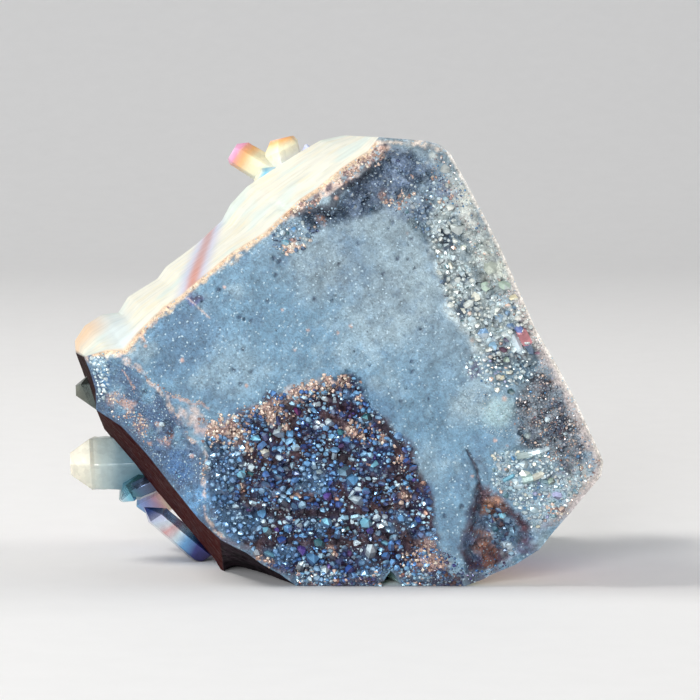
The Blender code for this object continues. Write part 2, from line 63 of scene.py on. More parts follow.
# The broken edge: each corner, and the places (x, z) on the way to the next.
EDGE_STEPS = (
    (LEFT_TIP, ((-21.2, 18.3), (-20.7, 16.6))),
    (LEFT_FOOT, ((-18.5, 13.5), (-16.2, 11.0), (-14.0, 8.3), (-11.8, 5.7))),
    (LOWER_LEFT, ((-7.7, 2.9), (-6.2, 1.8), (-4.4, 0.8))),
    (BASE_LEFT, ((-0.9, 0.2), (2.3, 0.1), (4.1, 0.6), (4.7, 1.3), (5.6, 0.4), (7.7, 0.1), (10.6, 0.2))),
    (BASE_RIGHT, ((15.3, 1.8), (17.4, 3.1))),
    (RIGHT_FOOT, ((20.2, 6.4), (21.6, 8.1), (22.7, 9.4))),
    (RIGHT_CORNER, ((22.2, 12.2), (20.4, 16.1), (18.7, 19.2), (17.1, 21.9), (15.9, 24.7), (14.2, 28.6),
                    (13.0, 31.0), (11.6, 33.6), (9.8, 36.9))),
    (TOP_RIGHT, ((7.5, 38.0),)),
    (TOP_LEFT, ((2.8, 37.1), (0.6, 35.7), (-1.6, 33.9), (-3.0, 33.0), (-6.1, 30.1), (-8.9, 28.4),
                (-11.8, 26.0), (-13.3, 24.7), (-14.8, 23.7), (-17.0, 21.5), (-18.1, 20.1), (-19.7, 20.0))),
)
CORNERS = [corner for corner, _ in EDGE_STEPS]
EDGE_SPACING = 1.25
REST_BAND = 0.3                # what lies lower rests flat on the ground
REST_RAMP = 0.95               # what lies between the two is stretched down to meet it
# Bulge of the cream face's far edge: (share of the way along it, millimetres).
SHOULDER_WAVE = ((0.0, 0.0), (0.06, 0.95), (0.14, 1.35), (0.31, 1.9), (0.38, 1.6), (0.43, 0.95),
                 (0.53, 0.75), (0.64, 0.9), (0.68, 0.55), (0.78, 0.95), (0.83, 0.4), (0.87, 1.2),
                 (0.93, 1.4), (0.98, 0.9), (1.0, 0.0))
SHOULDER_NORMAL = np.array((-0.63, 0.0, 0.78))
# How much of the broken edge's raggedness is left: (share of the way back, share left).
PRISM_RINGS = ((0.0, 1.0), (0.08, 0.7), (0.45, 0.25), (1.0, 0.0))
RIDGE_HIGH = (-7.6, 30.5, 21.5)
RIDGE_LOW = (-4.6, 31.5, 14.0)
BEVEL_RIDGE = ((-18.1, 20.1), (-15.6, 17.4), (-13.6, 15.2), (-11.8, 12.1), (-11.2, 9.1), (-10.5, 5.9),
               (-9.4, 3.4))
BEVEL_FACET = ((-18.1, 30.0), *BEVEL_RIDGE, (-9.4, -10.0), (-40.0, -10.0), (-40.0, 30.0))
BEVEL_SLOPE = 0.42
HOLLOW = ((-3.1, 31.6), (-0.1, 32.2), (1.4, 34.4), (3.2, 35.4), (4.2, 37.2), (6.5, 37.2), (7.5, 36.1),
          (8.4, 34.8), (7.1, 33.8), (5.1, 32.8), (3.4, 32.1), (1.2, 31.4), (-1.6, 30.6))
DRUSE_PATCH = ((-11.2, 12.4), (-8.6, 13.9), (-6.3, 15.0), (-3.1, 16.4), (1.2, 18.4), (2.2, 17.1),
               (4.2, 13.9), (6.3, 11.3), (7.6, 8.3), (8.0, 5.7), (7.6, 2.6), (6.6, 0.9), (4.7, 1.6),
               (1.0, 0.5), (-3.0, 0.4), (-7.0, 2.9), (-9.6, 5.2), (-10.3, 7.4), (-10.9, 10.0))
CAVITY = ((12.0, 9.0), (13.4, 7.6), (16.2, 5.6), (16.8, 4.3), (15.3, 2.9), (12.8, 1.4), (11.0, 1.2),
          (10.9, 3.0), (11.6, 5.0), (12.0, 7.0))
RIGHT_CRUST = ((7.6, 33.6), (12.2, 30.2), (15.2, 24.8), (17.6, 20.0), (16.6, 17.6), (13.6, 17.2),
               (12.4, 20.2), (9.6, 24.4), (8.4, 28.6), (6.2, 31.0))
DARK_DRUSE = ((15.3, 15.9), (17.4, 18.6), (19.0, 17.0), (20.6, 13.4), (21.4, 11.4), (20.2, 9.4),
              (18.5, 11.2), (15.8, 12.2))
CRACK = ((11.1, 11.6), (11.8, 9.7), (12.4, 8.2))
SUNKEN_ZONES = (               # outline, depth, width of the wall
    (HOLLOW, 1.5, 0.6), (DRUSE_PATCH, 0.9, 0.5), (CAVITY, 2.1, 0.7), (RIGHT_CRUST, 0.35, 0.6),
    (DARK_DRUSE, 0.45, 0.5),
)
SHALLOW_X = (-10.5, -4.0)      # the druse patch gets shallower between these places, towards the left
SHALLOW_LEVEL = 0.35
# Pits are (x, z, radius, depth), and ledges are (start, end, height).
PITS = ((-14.4, 13.6, 0.8, 0.4), (16.9, 20.0, 0.9, 1.0), (-4.0, 31.8, 0.6, 0.5))
LEDGES = (((15.2, 11.3), (18.4, 11.8), 0.5), ((15.8, 9.2), (17.8, 9.8), 0.6))
CRACK_WIDTH = 0.2              # the crack is drawn narrower and shallower than in the solid
CRACK_DEPTH = 0.2
LEDGE_WIDTH = 0.8
RIM_WIDTH = 0.9
RIM_DEPTH = 0.5
SWELL = (9.0, 0.35, 1.0)       # size, height and noise layer of the face's gentle swell
LUMPS = (1.7, 0.06, 2.0)       # the same for its lumps, drawn flatter than in the solid
WALL_SPREAD = 2.2              # the zones' walls are worn wider here than the solid's
QUARTZ_POINTS = (
    # root, direction, length, radius, spin in degrees, flattening, how blunt the tip is
    ((-14.5, 17.5, 8.7), (-1.0, -0.08, -0.02), 10.9, 2.9, 4.0, 1.0, 0.42),
    ((-19.5, 12.5, 15.4), (-1.0, -0.1, -0.03), 4.2, 2.1, 90.0, 0.55, 0.25),
    ((-16.5, 16.0, 8.0), (-0.72, -0.35, -0.6), 4.2, 1.1, 5.0, 1.0, 0.2),
    ((-15.5, 15.0, 7.4), (-0.8, -0.1, -0.35), 3.9, 1.0, 25.0, 1.0, 0.0),
    ((-17.5, 17.5, 7.6), (-0.5, 0.1, -0.6), 3.6, 1.3, 40.0, 1.0, 0.2),
    ((-6.0, 16.0, 4.0), (-0.85, 0.1, -0.33), 7.6, 2.3, 10.0, 1.0, 0.4),
    ((-11.6, 15.6, 0.3), (-0.74, -0.05, 0.64), 7.3, 1.4, 18.0, 0.9, 0.0),
    ((-5.3, 24.0, 34.0), (-0.82, 0.0, 0.5), 6.0, 1.6, 20.0, 1.0, 0.6),
    ((-4.2, 24.0, 32.6), (-0.25, 0.05, 1.0), 6.6, 2.2, 5.0, 1.0, 0.6),
    ((-4.0, 22.5, 32.4), (-0.8, -0.2, 0.5), 4.8, 1.7, 33.0, 1.0, 0.5),
    ((-2.2, 22.5, 34.4), (-0.2, 0.0, 1.0), 3.0, 0.8, 12.0, 1.0, 0.2),
    ((5.0, 17.0, 15.5), (0.6, 0.8, 0.06), 21.0, 4.8, 14.0, 1.0, 0.0),
    ((-11.0, 16.5, 12.0), (-0.46, 0.88, -0.1), 17.0, 4.1, 22.0, 1.0, 0.0),
    ((3.0, 17.0, 26.0), (0.42, 0.86, 0.26), 16.5, 3.5, 40.0, 0.9, 0.0),
    ((7.0, 16.0, 5.6), (0.5, 0.86, -0.05), 18.0, 3.3, 8.0, 1.0, 0.0),
    ((1.5, 18.0, 4.2), (0.14, 0.98, 0.0), 17.0, 3.0, 27.0, 1.0, 0.0),
    ((-7.5, 17.0, 4.0), (-0.3, 0.95, 0.02), 15.0, 2.9, 35.0, 1.0, 0.0),
    ((-9.5, 17.0, 21.5), (-0.4, 0.9, 0.17), 14.0, 3.0, 3.0, 1.0, 0.0),
    ((-2.5, 19.0, 28.0), (-0.14, 0.9, 0.4), 13.0, 2.7, 16.0, 1.0, 0.0),
    ((1.5, 19.0, 31.0), (0.14, 0.92, 0.34), 11.0, 2.0, 31.0, 1.0, 0.0),
    ((8.5, 17.0, 20.5), (0.6, 0.78, 0.16), 12.0, 2.4, 27.0, 1.0, 0.0),
    ((12.0, 16.5, 10.5), (0.8, 0.6, -0.06), 10.0, 2.2, 50.0, 1.0, 0.0),
    ((13.0, 17.0, 5.2), (0.75, 0.62, -0.2), 7.5, 1.7, 20.0, 1.0, 0.0),
    ((-15.5, 16.0, 17.0), (-0.5, 0.86, 0.1), 9.8, 2.2, 11.0, 1.0, 0.0),
    ((-14.0, 16.5, 6.6), (-0.42, 0.86, -0.3), 9.0, 1.9, 44.0, 1.0, 0.0),
    ((0.0, 22.0, 11.0), (0.1, 0.98, -0.1), 12.0, 2.0, 9.0, 1.0, 0.0),
    ((-6.0, 24.0, 27.0), (-0.3, 0.9, 0.3), 7.5, 1.5, 19.0, 1.0, 0.0),
    ((3.5, 22.0, 21.0), (0.3, 0.9, 0.25), 11.5, 2.0, 38.0, 1.0, 0.0),
)
POINT_SEED = 15
SMALL_POINTS = 26              # small points sown over the termination
SMALL_LENGTH = (3.0, 5.5)
SMALL_RADIUS = (0.7, 1.3)
TIP_SLOPE = 1.27               # height of a tip over its half width
TAPER = 0.9                    # width at a point's shoulders over the width at its root
POINT_LIFT = 0.06              # no point or small crystal comes nearer the ground

# ---------------------------------------------------------------- fineness of the meshes
RIM_SPACING = 0.22
FACE_SPACING = 0.128
FACE_JITTER = 0.3              # share of the spacing that the face's points are pushed about
PRISM_RING_COUNT = 32
CAP_RING_COUNT = 12
SEED = 5


def rgb(red, green, blue):
    """Linear colour from everyday 0-255 values."""
    values = np.array((red, green, blue)) / 255.0
    return np.where(values <= 0.04045, values / 12.92, ((values + 0.055) / 1.055) ** 2.4)


# ---------------------------------------------------------------- small tools
def smooth(value, low, high):
    """A soft step from 0 at the low value to 1 at the high one."""
    share = np.clip((value - low) / (high - low), 0.0, 1.0)
    return share * share * (3.0 - 2.0 * share)


def fade(value, full, none):
    """A soft step from 1 at one value down to 0 at the other."""
    return 1.0 - smooth(value, full, none)


def mix_value(low, high, share):
    """A number between two others."""
    return low + (high - low) * share


def shade_scale(*stops):
    """A colour scale from stops (place, red, green, blue)."""
    return tuple((place, rgb(*colour)) for place, *colour in stops)


def gradient(values, stops):
    """Colours read off a scale of (place, colour)."""
    places = [place for place, _ in stops]
    return np.column_stack([np.interp(values, places, [colour[k] for _, colour in stops]) for k in range(3)])


def mix(low, high, share):
    """Blend of colours or points; share may be an array over the rows."""
    share = np.asarray(share, float)
    if share.ndim:
        share = share[:, None]
    return np.asarray(low) * (1.0 - share) + np.asarray(high) * share


def place_distance(points, x, z):
    """Distance to one place."""
    return np.hypot(points[:, 0] - x, points[:, 1] - z)


def segment_distance(points, start, end):
    """Distance to a straight stretch."""
    start, run = np.array(start, float), np.array(end, float) - np.array(start, float)
    share = np.clip((points - start) @ run / (run @ run), 0.0, 1.0)
    return np.hypot(*(points - start - share[:, None] * run).T)


def path_distance(points, path):
    """Distance to an open path."""
    return np.min([segment_distance(points, a, b) for a, b in zip(path, path[1:])], axis=0)


def inside_distance(points, outline):
    """Distance to a closed outline, positive inside it and negative outside."""
    closed = (*outline, outline[0])
    inside = np.zeros(len(points), bool)
    for (x0, z0), (x1, z1) in zip(closed, closed[1:]):
        if z0 == z1:
            continue
        crosses = (z0 > points[:, 1]) != (z1 > points[:, 1])
        inside ^= crosses & (points[:, 0] < (x1 - x0) * (points[:, 1] - z0) / (z1 - z0) + x0)
    distance = path_distance(points, closed)
    return np.where(inside, distance, -distance)


HASH_FACTORS = (374761393, 668265263, 2246822519, 3266489917)        # one per coordinate
HASH_STIR = 1274126177
HASH_TOP = 0xFFFFFF            # the largest whole number that is read as 1
OCTAVE_WEIGHT = 0.55           # how strong each octave of noise is against the coarser one before it
NOISE_START = 1000.0           # keeps the noise's whole-number places positive
LAYER_STEP = 17.3              # how far apart two layers of noise are read


def hashed(*grids):
    """A repeatable random number from 0 to 1 for each whole-number place."""
    total = np.zeros(grids[0].shape, np.uint64)
    for grid, factor in zip(grids, HASH_FACTORS):
        total += grid.astype(np.int64).astype(np.uint64) * np.uint64(factor)
    total = (total ^ (total >> np.uint64(13))) * np.uint64(HASH_STIR)
    total ^= total >> np.uint64(16)
    return (total & np.uint64(HASH_TOP)).astype(float) / HASH_TOP


def drawn_at(cells, layer):
    """A repeatable random number from 0 to 1 for each cell."""
    return hashed(*cells.T, np.full(len(cells), layer))


def value_noise(points, size, layer):
    """Smooth noise from 0 to 1 over points of two or three coordinates."""
    scaled = np.asarray(points, float) / size + NOISE_START + LAYER_STEP * layer
    whole = np.floor(scaled)
    share = smooth(scaled - whole, 0.0, 1.0)
    total = np.zeros(len(scaled))
    for corner in np.ndindex(*(2,) * scaled.shape[1]):
        weight = np.ones(len(scaled))
        for axis, step in enumerate(corner):
            weight *= share[:, axis] if step else 1.0 - share[:, axis]
        total += weight * drawn_at(whole + corner, layer)
    return total


def fractal(points, size, layer, octaves=3):
    """Several octaves of noise around 0, from -1 to 1."""
    total, weight, reach = np.zeros(len(points)), 1.0, 0.0
    for octave in range(octaves):
        total += weight * (2.0 * value_noise(points, size / 2 ** octave, layer + octave) - 1.0)
        reach += weight
        weight *= OCTAVE_WEIGHT
    return total / reach


def clouds(points, size, layer, low, high, octaves=3):
    """Soft-edged patches of noise, from 0 below the low value to 1 above the high one."""
    return smooth(fractal(points, size, layer, octaves), low, high)


def clouded(tint, points, *layers):
    """The tint with clouds over it: each is (colour, strength, size, noise layer, low, high, octaves)."""
    for colour, strength, *cloud in layers:
        tint = mix(tint, colour, strength * clouds(points, *cloud))
    return tint


def plates(points, size, layer):
    """A broken pattern of small tilted plates: height over each plate's middle, and its tone from 0 to 1."""
    scaled = np.asarray(points, float) / size + 500.0
    whole = np.floor(scaled)
    nearest, height, tone = np.full(len(scaled), np.inf), np.zeros(len(scaled)), np.zeros(len(scaled))
    for step in np.ndindex(3, 3):
        cell = whole + step - 1.0
        jitter = np.column_stack((drawn_at(cell, layer + 1), drawn_at(cell, layer + 2)))
        lean = np.column_stack((drawn_at(cell, layer + 3), drawn_at(cell, layer + 4)))
        offset = scaled - cell - jitter
        reach = np.hypot(*offset.T)
        closer = reach < nearest
        nearest = np.where(closer, reach, nearest)
        height = np.where(closer, (offset * (2.0 * lean - 1.0)).sum(1) * size, height)
        tone = np.where(closer, drawn_at(cell, layer + 5), tone)
    return height, tone


def ripple(points, size, height, layer):
    """The gentle relief that the solid has too."""
    values = [noise.noise(Vector((x / size, z / size, layer))) for x, z in points]
    return height * np.array(values)


def refine(line, spacing):
    """The line's points with more between them, at most the spacing apart."""
    points = [tuple(line[0])]
    for start, end in zip(line, line[1:]):
        steps = max(1, math.ceil(math.dist(start, end) / spacing))
        for step in range(1, steps + 1):
            points.append(tuple(a + (b - a) * step / steps for a, b in zip(start, end)))
    return points


def join_rings(low, high):
    """Four-sided faces between two closed rings of point numbers."""
    following = [(i + 1) % len(low) for i in range(len(low))]
    return [(low[i], low[j], high[j], high[i]) for i, j in enumerate(following)]


# ---------------------------------------------------------------- form of the big crystal
def rim_points(spacing):
    """The broken edge: rows of (front point, straight front point, shoulder point, corner number, share)."""
    rim = []
    for index, (corner, steps) in enumerate(EDGE_STEPS):
        following = CORNERS[(index + 1) % len(CORNERS)]
        line = refine([corner[0], *steps, following[0]], spacing)
        travelled = [0.0]
        for start, end in zip(line, line[1:]):
            travelled.append(travelled[-1] + math.dist(start, end))
        for point, distance in zip(line[:-1], travelled):
            share = distance / travelled[-1]
            straight = tuple(a + (b - a) * share for a, b in zip(corner[0], following[0]))
            shoulder = np.array(corner[1]) * (1.0 - share) + np.array(following[1]) * share
            if corner is TOP_LEFT:
                shoulder = shoulder + SHOULDER_NORMAL * np.interp(share, *zip(*SHOULDER_WAVE))
            rim.append((point, straight, shoulder, index, share))
    return rim


RIM = rim_points(EDGE_SPACING)
RIM_LINE = tuple(row[0] for row in RIM)
RIM_LOOP = RIM_LINE + RIM_LINE[:1]


def face_depth(points):
    """How far the broken face lies behind its leaning plane at (x, z), without crystals and fine grain."""
    soft = wander(points, 0.7)
    depth = BEVEL_SLOPE * np.maximum(0.0, inside_distance(points, BEVEL_FACET))
    shallows = mix_value(SHALLOW_LEVEL, 1.0, smooth(points[:, 0], *SHALLOW_X))
    for zone, sunk, wall in SUNKEN_ZONES:
        level = shallows if zone is DRUSE_PATCH else 1.0
        depth += level * sunk * smooth(inside_distance(soft, zone), -0.5 * wall, WALL_SPREAD * wall)
    depth += CRACK_DEPTH * fade(path_distance(soft, CRACK), 0.0, CRACK_WIDTH)
    for x, z, radius, sunk in PITS:
        depth += sunk * fade(place_distance(points, x, z), 0.2 * radius, radius)
    for start, end, height in LEDGES:
        depth -= height * fade(segment_distance(points, start, end), 0.3 * LEDGE_WIDTH, LEDGE_WIDTH)
    rim = path_distance(points, RIM_LOOP)
    depth += RIM_DEPTH * fade(rim, 0.0, RIM_WIDTH)
    return depth + ripple(points, *SWELL) + ripple(points, *LUMPS)


def on_face(points, depths):
    """Places in space of points (x, z) at the given depths behind the leaning face."""
    points = np.asarray(points, float)
    lean = math.tan(math.radians(FACE_LEAN))
    return np.column_stack((points[:, 0], points[:, 1] * lean + depths, points[:, 1]))


def wander(points, reach=0.95, size=2.4):
    """The same points pushed about, so that painted borders come out ragged."""
    shift = np.column_stack((fractal(points, size, 11, 5), fractal(points, size, 23, 5)))
    return points + reach * shift


# ---------------------------------------------------------------- colours
FROST_BLUE = rgb(106, 141, 164)
FROST_DEEP = rgb(76, 107, 136)
FROST_GREY = rgb(134, 153, 163)
FROST_PALE = rgb(160, 181, 189)
SLATE = rgb(76, 96, 124)
INDIGO = rgb(44, 58, 98)
MAROON = rgb(50, 26, 34)
BROWN = rgb(84, 50, 38)
AMBER = rgb(140, 82, 44)
NAVY = rgb(34, 42, 70)
CHARCOAL = rgb(66, 68, 82)
PEACH = rgb(214, 172, 152)
PALE_PEACH = rgb(236, 208, 190)
COPPER = rgb(158, 110, 92)
CREAM = rgb(240, 239, 224)
PALE_YELLOW = rgb(240, 230, 194)
IVORY = rgb(236, 236, 220)
CYAN = rgb(132, 198, 222)
SKY = rgb(104, 160, 206)
ROYAL = rgb(60, 94, 170)
VIOLET = rgb(90, 72, 146)
MAGENTA = rgb(170, 50, 110)
ICE = rgb(214, 234, 242)
TEAL = rgb(70, 130, 140)
SAGE = rgb(176, 196, 180)
LAVENDER = rgb(186, 190, 226)
# Painted shade along the foot of the broken face, near the ground.
PAINTED_FOOT_SHADE = rgb(46, 42, 62)
STRIP_RED = rgb(48, 8, 11)
STRIP_ORANGE = rgb(68, 18, 14)
PINK = rgb(228, 154, 188)
ORANGE = rgb(238, 176, 104)

# The coating's colours as it gets thicker.
FILM = shade_scale((0.0, 216, 180, 98), (0.12, 206, 122, 78), (0.22, 176, 62, 104), (0.33, 98, 60, 156),
                   (0.46, 46, 84, 186), (0.6, 78, 158, 214), (0.74, 150, 214, 224), (0.88, 206, 220, 160),
                   (1.0, 216, 180, 98))


def film_colour(values):
    """Interference colours of the thin metal coating, repeating every whole number."""
    return gradient(np.asarray(values, float) % 1.0, FILM)


# ---------------------------------------------------------------- meshes
def add_object(name, data):
    """A new object in the scene."""
    thing = bpy.data.objects.new(name, data)
    bpy.context.scene.collection.objects.link(thing)
    return thing


def make_mesh(name, points, faces, tints, materials, slots=None, smooth_angle=None):
    """A piece of the cluster from points in millimetres, with one colour per corner or per point."""
    mesh = bpy.data.meshes.new(name)
    metres = (np.asarray(points, float) - (*ORIGIN, 0.0)) * MM
    mesh.from_pydata(metres.tolist(), [], faces)
    for material in materials:
        mesh.materials.append(material)
    if slots is not None:
        mesh.polygons.foreach_set("material_index", slots)
    domain = "POINT" if len(tints) == len(points) else "CORNER"
    colours = mesh.color_attributes.new("tint", "FLOAT_COLOR", domain)
    flat = np.ones((len(tints), 4), np.float32)
    flat[:, :3] = tints
    colours.data.foreach_set("color", flat.ravel())
    if smooth_angle:
        mesh.shade_smooth()
        mesh.set_sharp_from_angle(angle=math.radians(smooth_angle))
    mesh.validate()
    return add_object(name, mesh)


class Heap:
    """Many small closed shapes gathered into one mesh."""

    def __init__(self):
        self.points, self.faces, self.tints = [], [], []

    def add(self, points, faces, tints):
        """One shape: its points, its faces, and for each face one colour or one per corner."""
        first = len(self.points)
        self.points += [tuple(point) for point in points]
        for face, tint in zip(faces, tints):
            self.faces.append([first + i for i in face])
            self.tints += list(np.broadcast_to(tint, (len(face), 3)))

    def piece(self, name, materials):
        """The gathered shapes as one mesh, lifted clear of the floor."""
        points = np.array(self.points)
        points[:, 2] = np.maximum(points[:, 2], POINT_LIFT)
        return make_mesh(name, points, self.faces, np.array(self.tints), materials)


# ---------------------------------------------------------------- broken face: relief and colour
# Zones of the right side whose colour or crystals differ.
CRUST_BELT = ((8.0, 31.6), (8.6, 32.8), (9.8, 32.6), (10.4, 30.6), (10.6, 28.0), (12.0, 26.0), (13.8, 24.6),
              (16.4, 23.8), (17.6, 20.6), (16.4, 19.6), (13.8, 19.6), (12.2, 20.4), (11.6, 21.6),
              (9.6, 23.4), (8.9, 26.4), (8.4, 28.6), (7.8, 30.0))
RIGHT_FLATS = ((9.4, 35.4), (10.6, 34.8), (13.6, 29.2), (15.6, 25.0), (13.2, 25.2), (11.2, 27.4),
               (10.8, 30.6), (9.6, 33.0))
LOWER_RIGHT = ((13.3, 11.2), (14.6, 11.8), (18.6, 11.4), (20.4, 9.6), (21.9, 10.2), (20.4, 7.6),
               (18.2, 5.6), (16.9, 4.9), (15.6, 6.8), (13.4, 8.6))

# Lines of the face that are painted or carry grains.
RIDGE_LINE = ((-18.4, 20.0), (-16.9, 18.5), (-15.5, 17.1), (-14.2, 16.4), (-13.6, 14.8), (-12.9, 13.2),
              (-11.7, 12.2), (-11.3, 9.6), (-11.0, 7.4), (-10.6, 4.9), (-9.8, 4.1))
SIDE_LINE = ((-13.8, 16.4), (-12.6, 15.9), (-11.5, 15.8), (-10.8, 15.0))
FACET_LINE = ((-18.3, 18.4), (-17.6, 17.5), (-17.3, 16.6))
CREAM_EDGE = ((-20.6, 19.9), (-18.3, 20.5), (-14.8, 23.7), (-11.8, 26.0), (-6.1, 30.1), (-3.0, 33.0),
              (2.8, 37.1))
TOP_CRUST = ((-4.5, 31.6), (-2.2, 33.0), (0.0, 34.4), (2.0, 35.9), (4.0, 37.4))
TOP_RIM = ((3.4, 38.1), (7.5, 37.7), (8.7, 37.2))
PATCH_CREST = ((-10.6, 13.2), (-9.0, 13.5), (-7.6, 14.2), (-5.6, 15.2), (-3.6, 16.3), (-1.6, 16.9),
               (0.6, 17.4))
BOTTOM_RIM = ((-9.4, 3.6), (-6.0, 1.9), (-3.0, 0.4), (4.0, 0.6), (10.6, 0.4), (12.6, 0.8), (15.3, 1.9))
DRUSE_COVER = ((-11.2, 13.0), (-9.8, 14.0), (-8.2, 15.0), (-6.6, 15.4), (-6.0, 16.8), (-4.4, 16.4),
               (-2.6, 17.1), (0.2, 17.9), (1.4, 18.0), (2.4, 16.4), (3.0, 15.0), (4.4, 14.4), (5.4, 13.0),
               (6.6, 12.0), (7.4, 10.2), (8.2, 8.6), (8.5, 6.0), (8.7, 3.0), (9.4, 1.4), (6.6, 0.6),
               (4.7, 1.4), (1.0, 0.4), (-3.0, 0.4), (-6.6, 2.4), (-8.8, 4.0), (-10.1, 5.2), (-10.8, 7.4),
               (-11.3, 10.0))
# Groups of bright crystals in the druse patch (x, z, radius).
BRIGHT_GROUPS = (
    (-5.0, 13.0, 0.6), (-4.0, 12.9, 0.5), (-6.8, 12.5, 0.5), (-8.0, 10.4, 0.9), (-6.5, 7.0, 0.7),
    (-5.6, 5.3, 1.2), (-3.9, 4.9, 0.9), (-0.5, 5.5, 0.8), (1.4, 6.0, 0.8), (2.9, 5.5, 1.0), (1.4, 7.7, 0.8),
    (2.2, 8.4, 0.6), (2.2, 3.0, 0.9), (-2.1, 2.3, 0.8), (-0.9, 1.0, 0.7), (-1.5, 10.0, 0.9),
    (-0.1, 16.0, 0.6), (-1.6, 16.0, 0.6), (3.1, 9.3, 0.5), (1.6, 9.1, 0.6), (7.2, 6.4, 0.8),
    (4.2, 4.9, 0.7), (0.4, 14.2, 0.5), (-1.4, 13.8, 0.6), (5.4, 8.4, 0.5), (-8.6, 6.2, 0.8),
    (-10.0, 9.0, 0.8),
)
# Dark bands between the crystals of the druse patch (path, half width).
DARK_BANDS = (
    (((-6.3, 6.2), (-3.1, 6.0), (-0.1, 6.2), (2.5, 6.6), (5.5, 6.7)), 0.4),
    (((-7.8, 3.6), (-4.4, 3.9), (-1.4, 3.5), (0.8, 3.6), (5.0, 4.0), (7.2, 3.6)), 0.4),
    (((-4.4, 16.1), (-3.9, 14.7), (-4.4, 12.9), (-3.1, 11.7)), 0.6),
    (((-7.8, 11.4), (-6.5, 10.4), (-5.2, 10.7)), 0.4), (((-0.1, 11.3), (1.2, 10.8), (0.8, 10.0)), 0.45),
    (((3.8, 13.8), (5.5, 12.1), (5.0, 10.0), (6.8, 9.1)), 0.7), (((0.3, 8.3), (1.2, 7.2)), 0.4),
    (((-8.2, 7.4), (-6.5, 6.7)), 0.4), (((5.5, 4.9), (6.3, 2.3)), 0.6), (((-1.0, 14.6), (0.8, 13.6)), 0.4),
    (((-3.8, 8.0), (-2.2, 7.4)), 0.35),
)
# Beds of peach grains in the druse patch (x, z, radius).
PEACH_BEDS = (
    (-10.2, 13.3, 1.0), (-8.8, 13.8, 0.8), (-8.5, 12.6, 0.8), (-7.5, 11.9, 0.45), (-5.9, 15.0, 0.8),
    (-5.2, 14.2, 0.7), (-4.3, 13.5, 0.35), (-3.4, 16.6, 0.5), (-2.0, 16.9, 0.45), (-0.6, 17.3, 0.5),
    (0.8, 17.6, 0.6), (2.1, 16.0, 0.4), (1.4, 13.2, 0.7), (2.2, 12.8, 0.4), (4.0, 12.7, 0.35),
    (5.5, 10.9, 0.35), (5.9, 7.7, 0.5), (-6.8, 2.7, 0.5), (-5.6, 1.9, 0.45), (7.9, 3.5, 0.7),
    (8.3, 2.1, 0.8), (-0.4, 3.0, 0.35), (-8.2, 8.4, 0.3), (-3.4, 7.6, 0.3),
)
SCRATCH = ((-12.7, 24.6), (-10.8, 22.9))
# Path of a painted shadow, navy to near black, under the ledge at the top of the hollow.
HOLLOW_SHADE = ((-3.6, 31.8), (-0.6, 32.3), (0.4, 33.8), (2.6, 35.0), (3.4, 36.2))

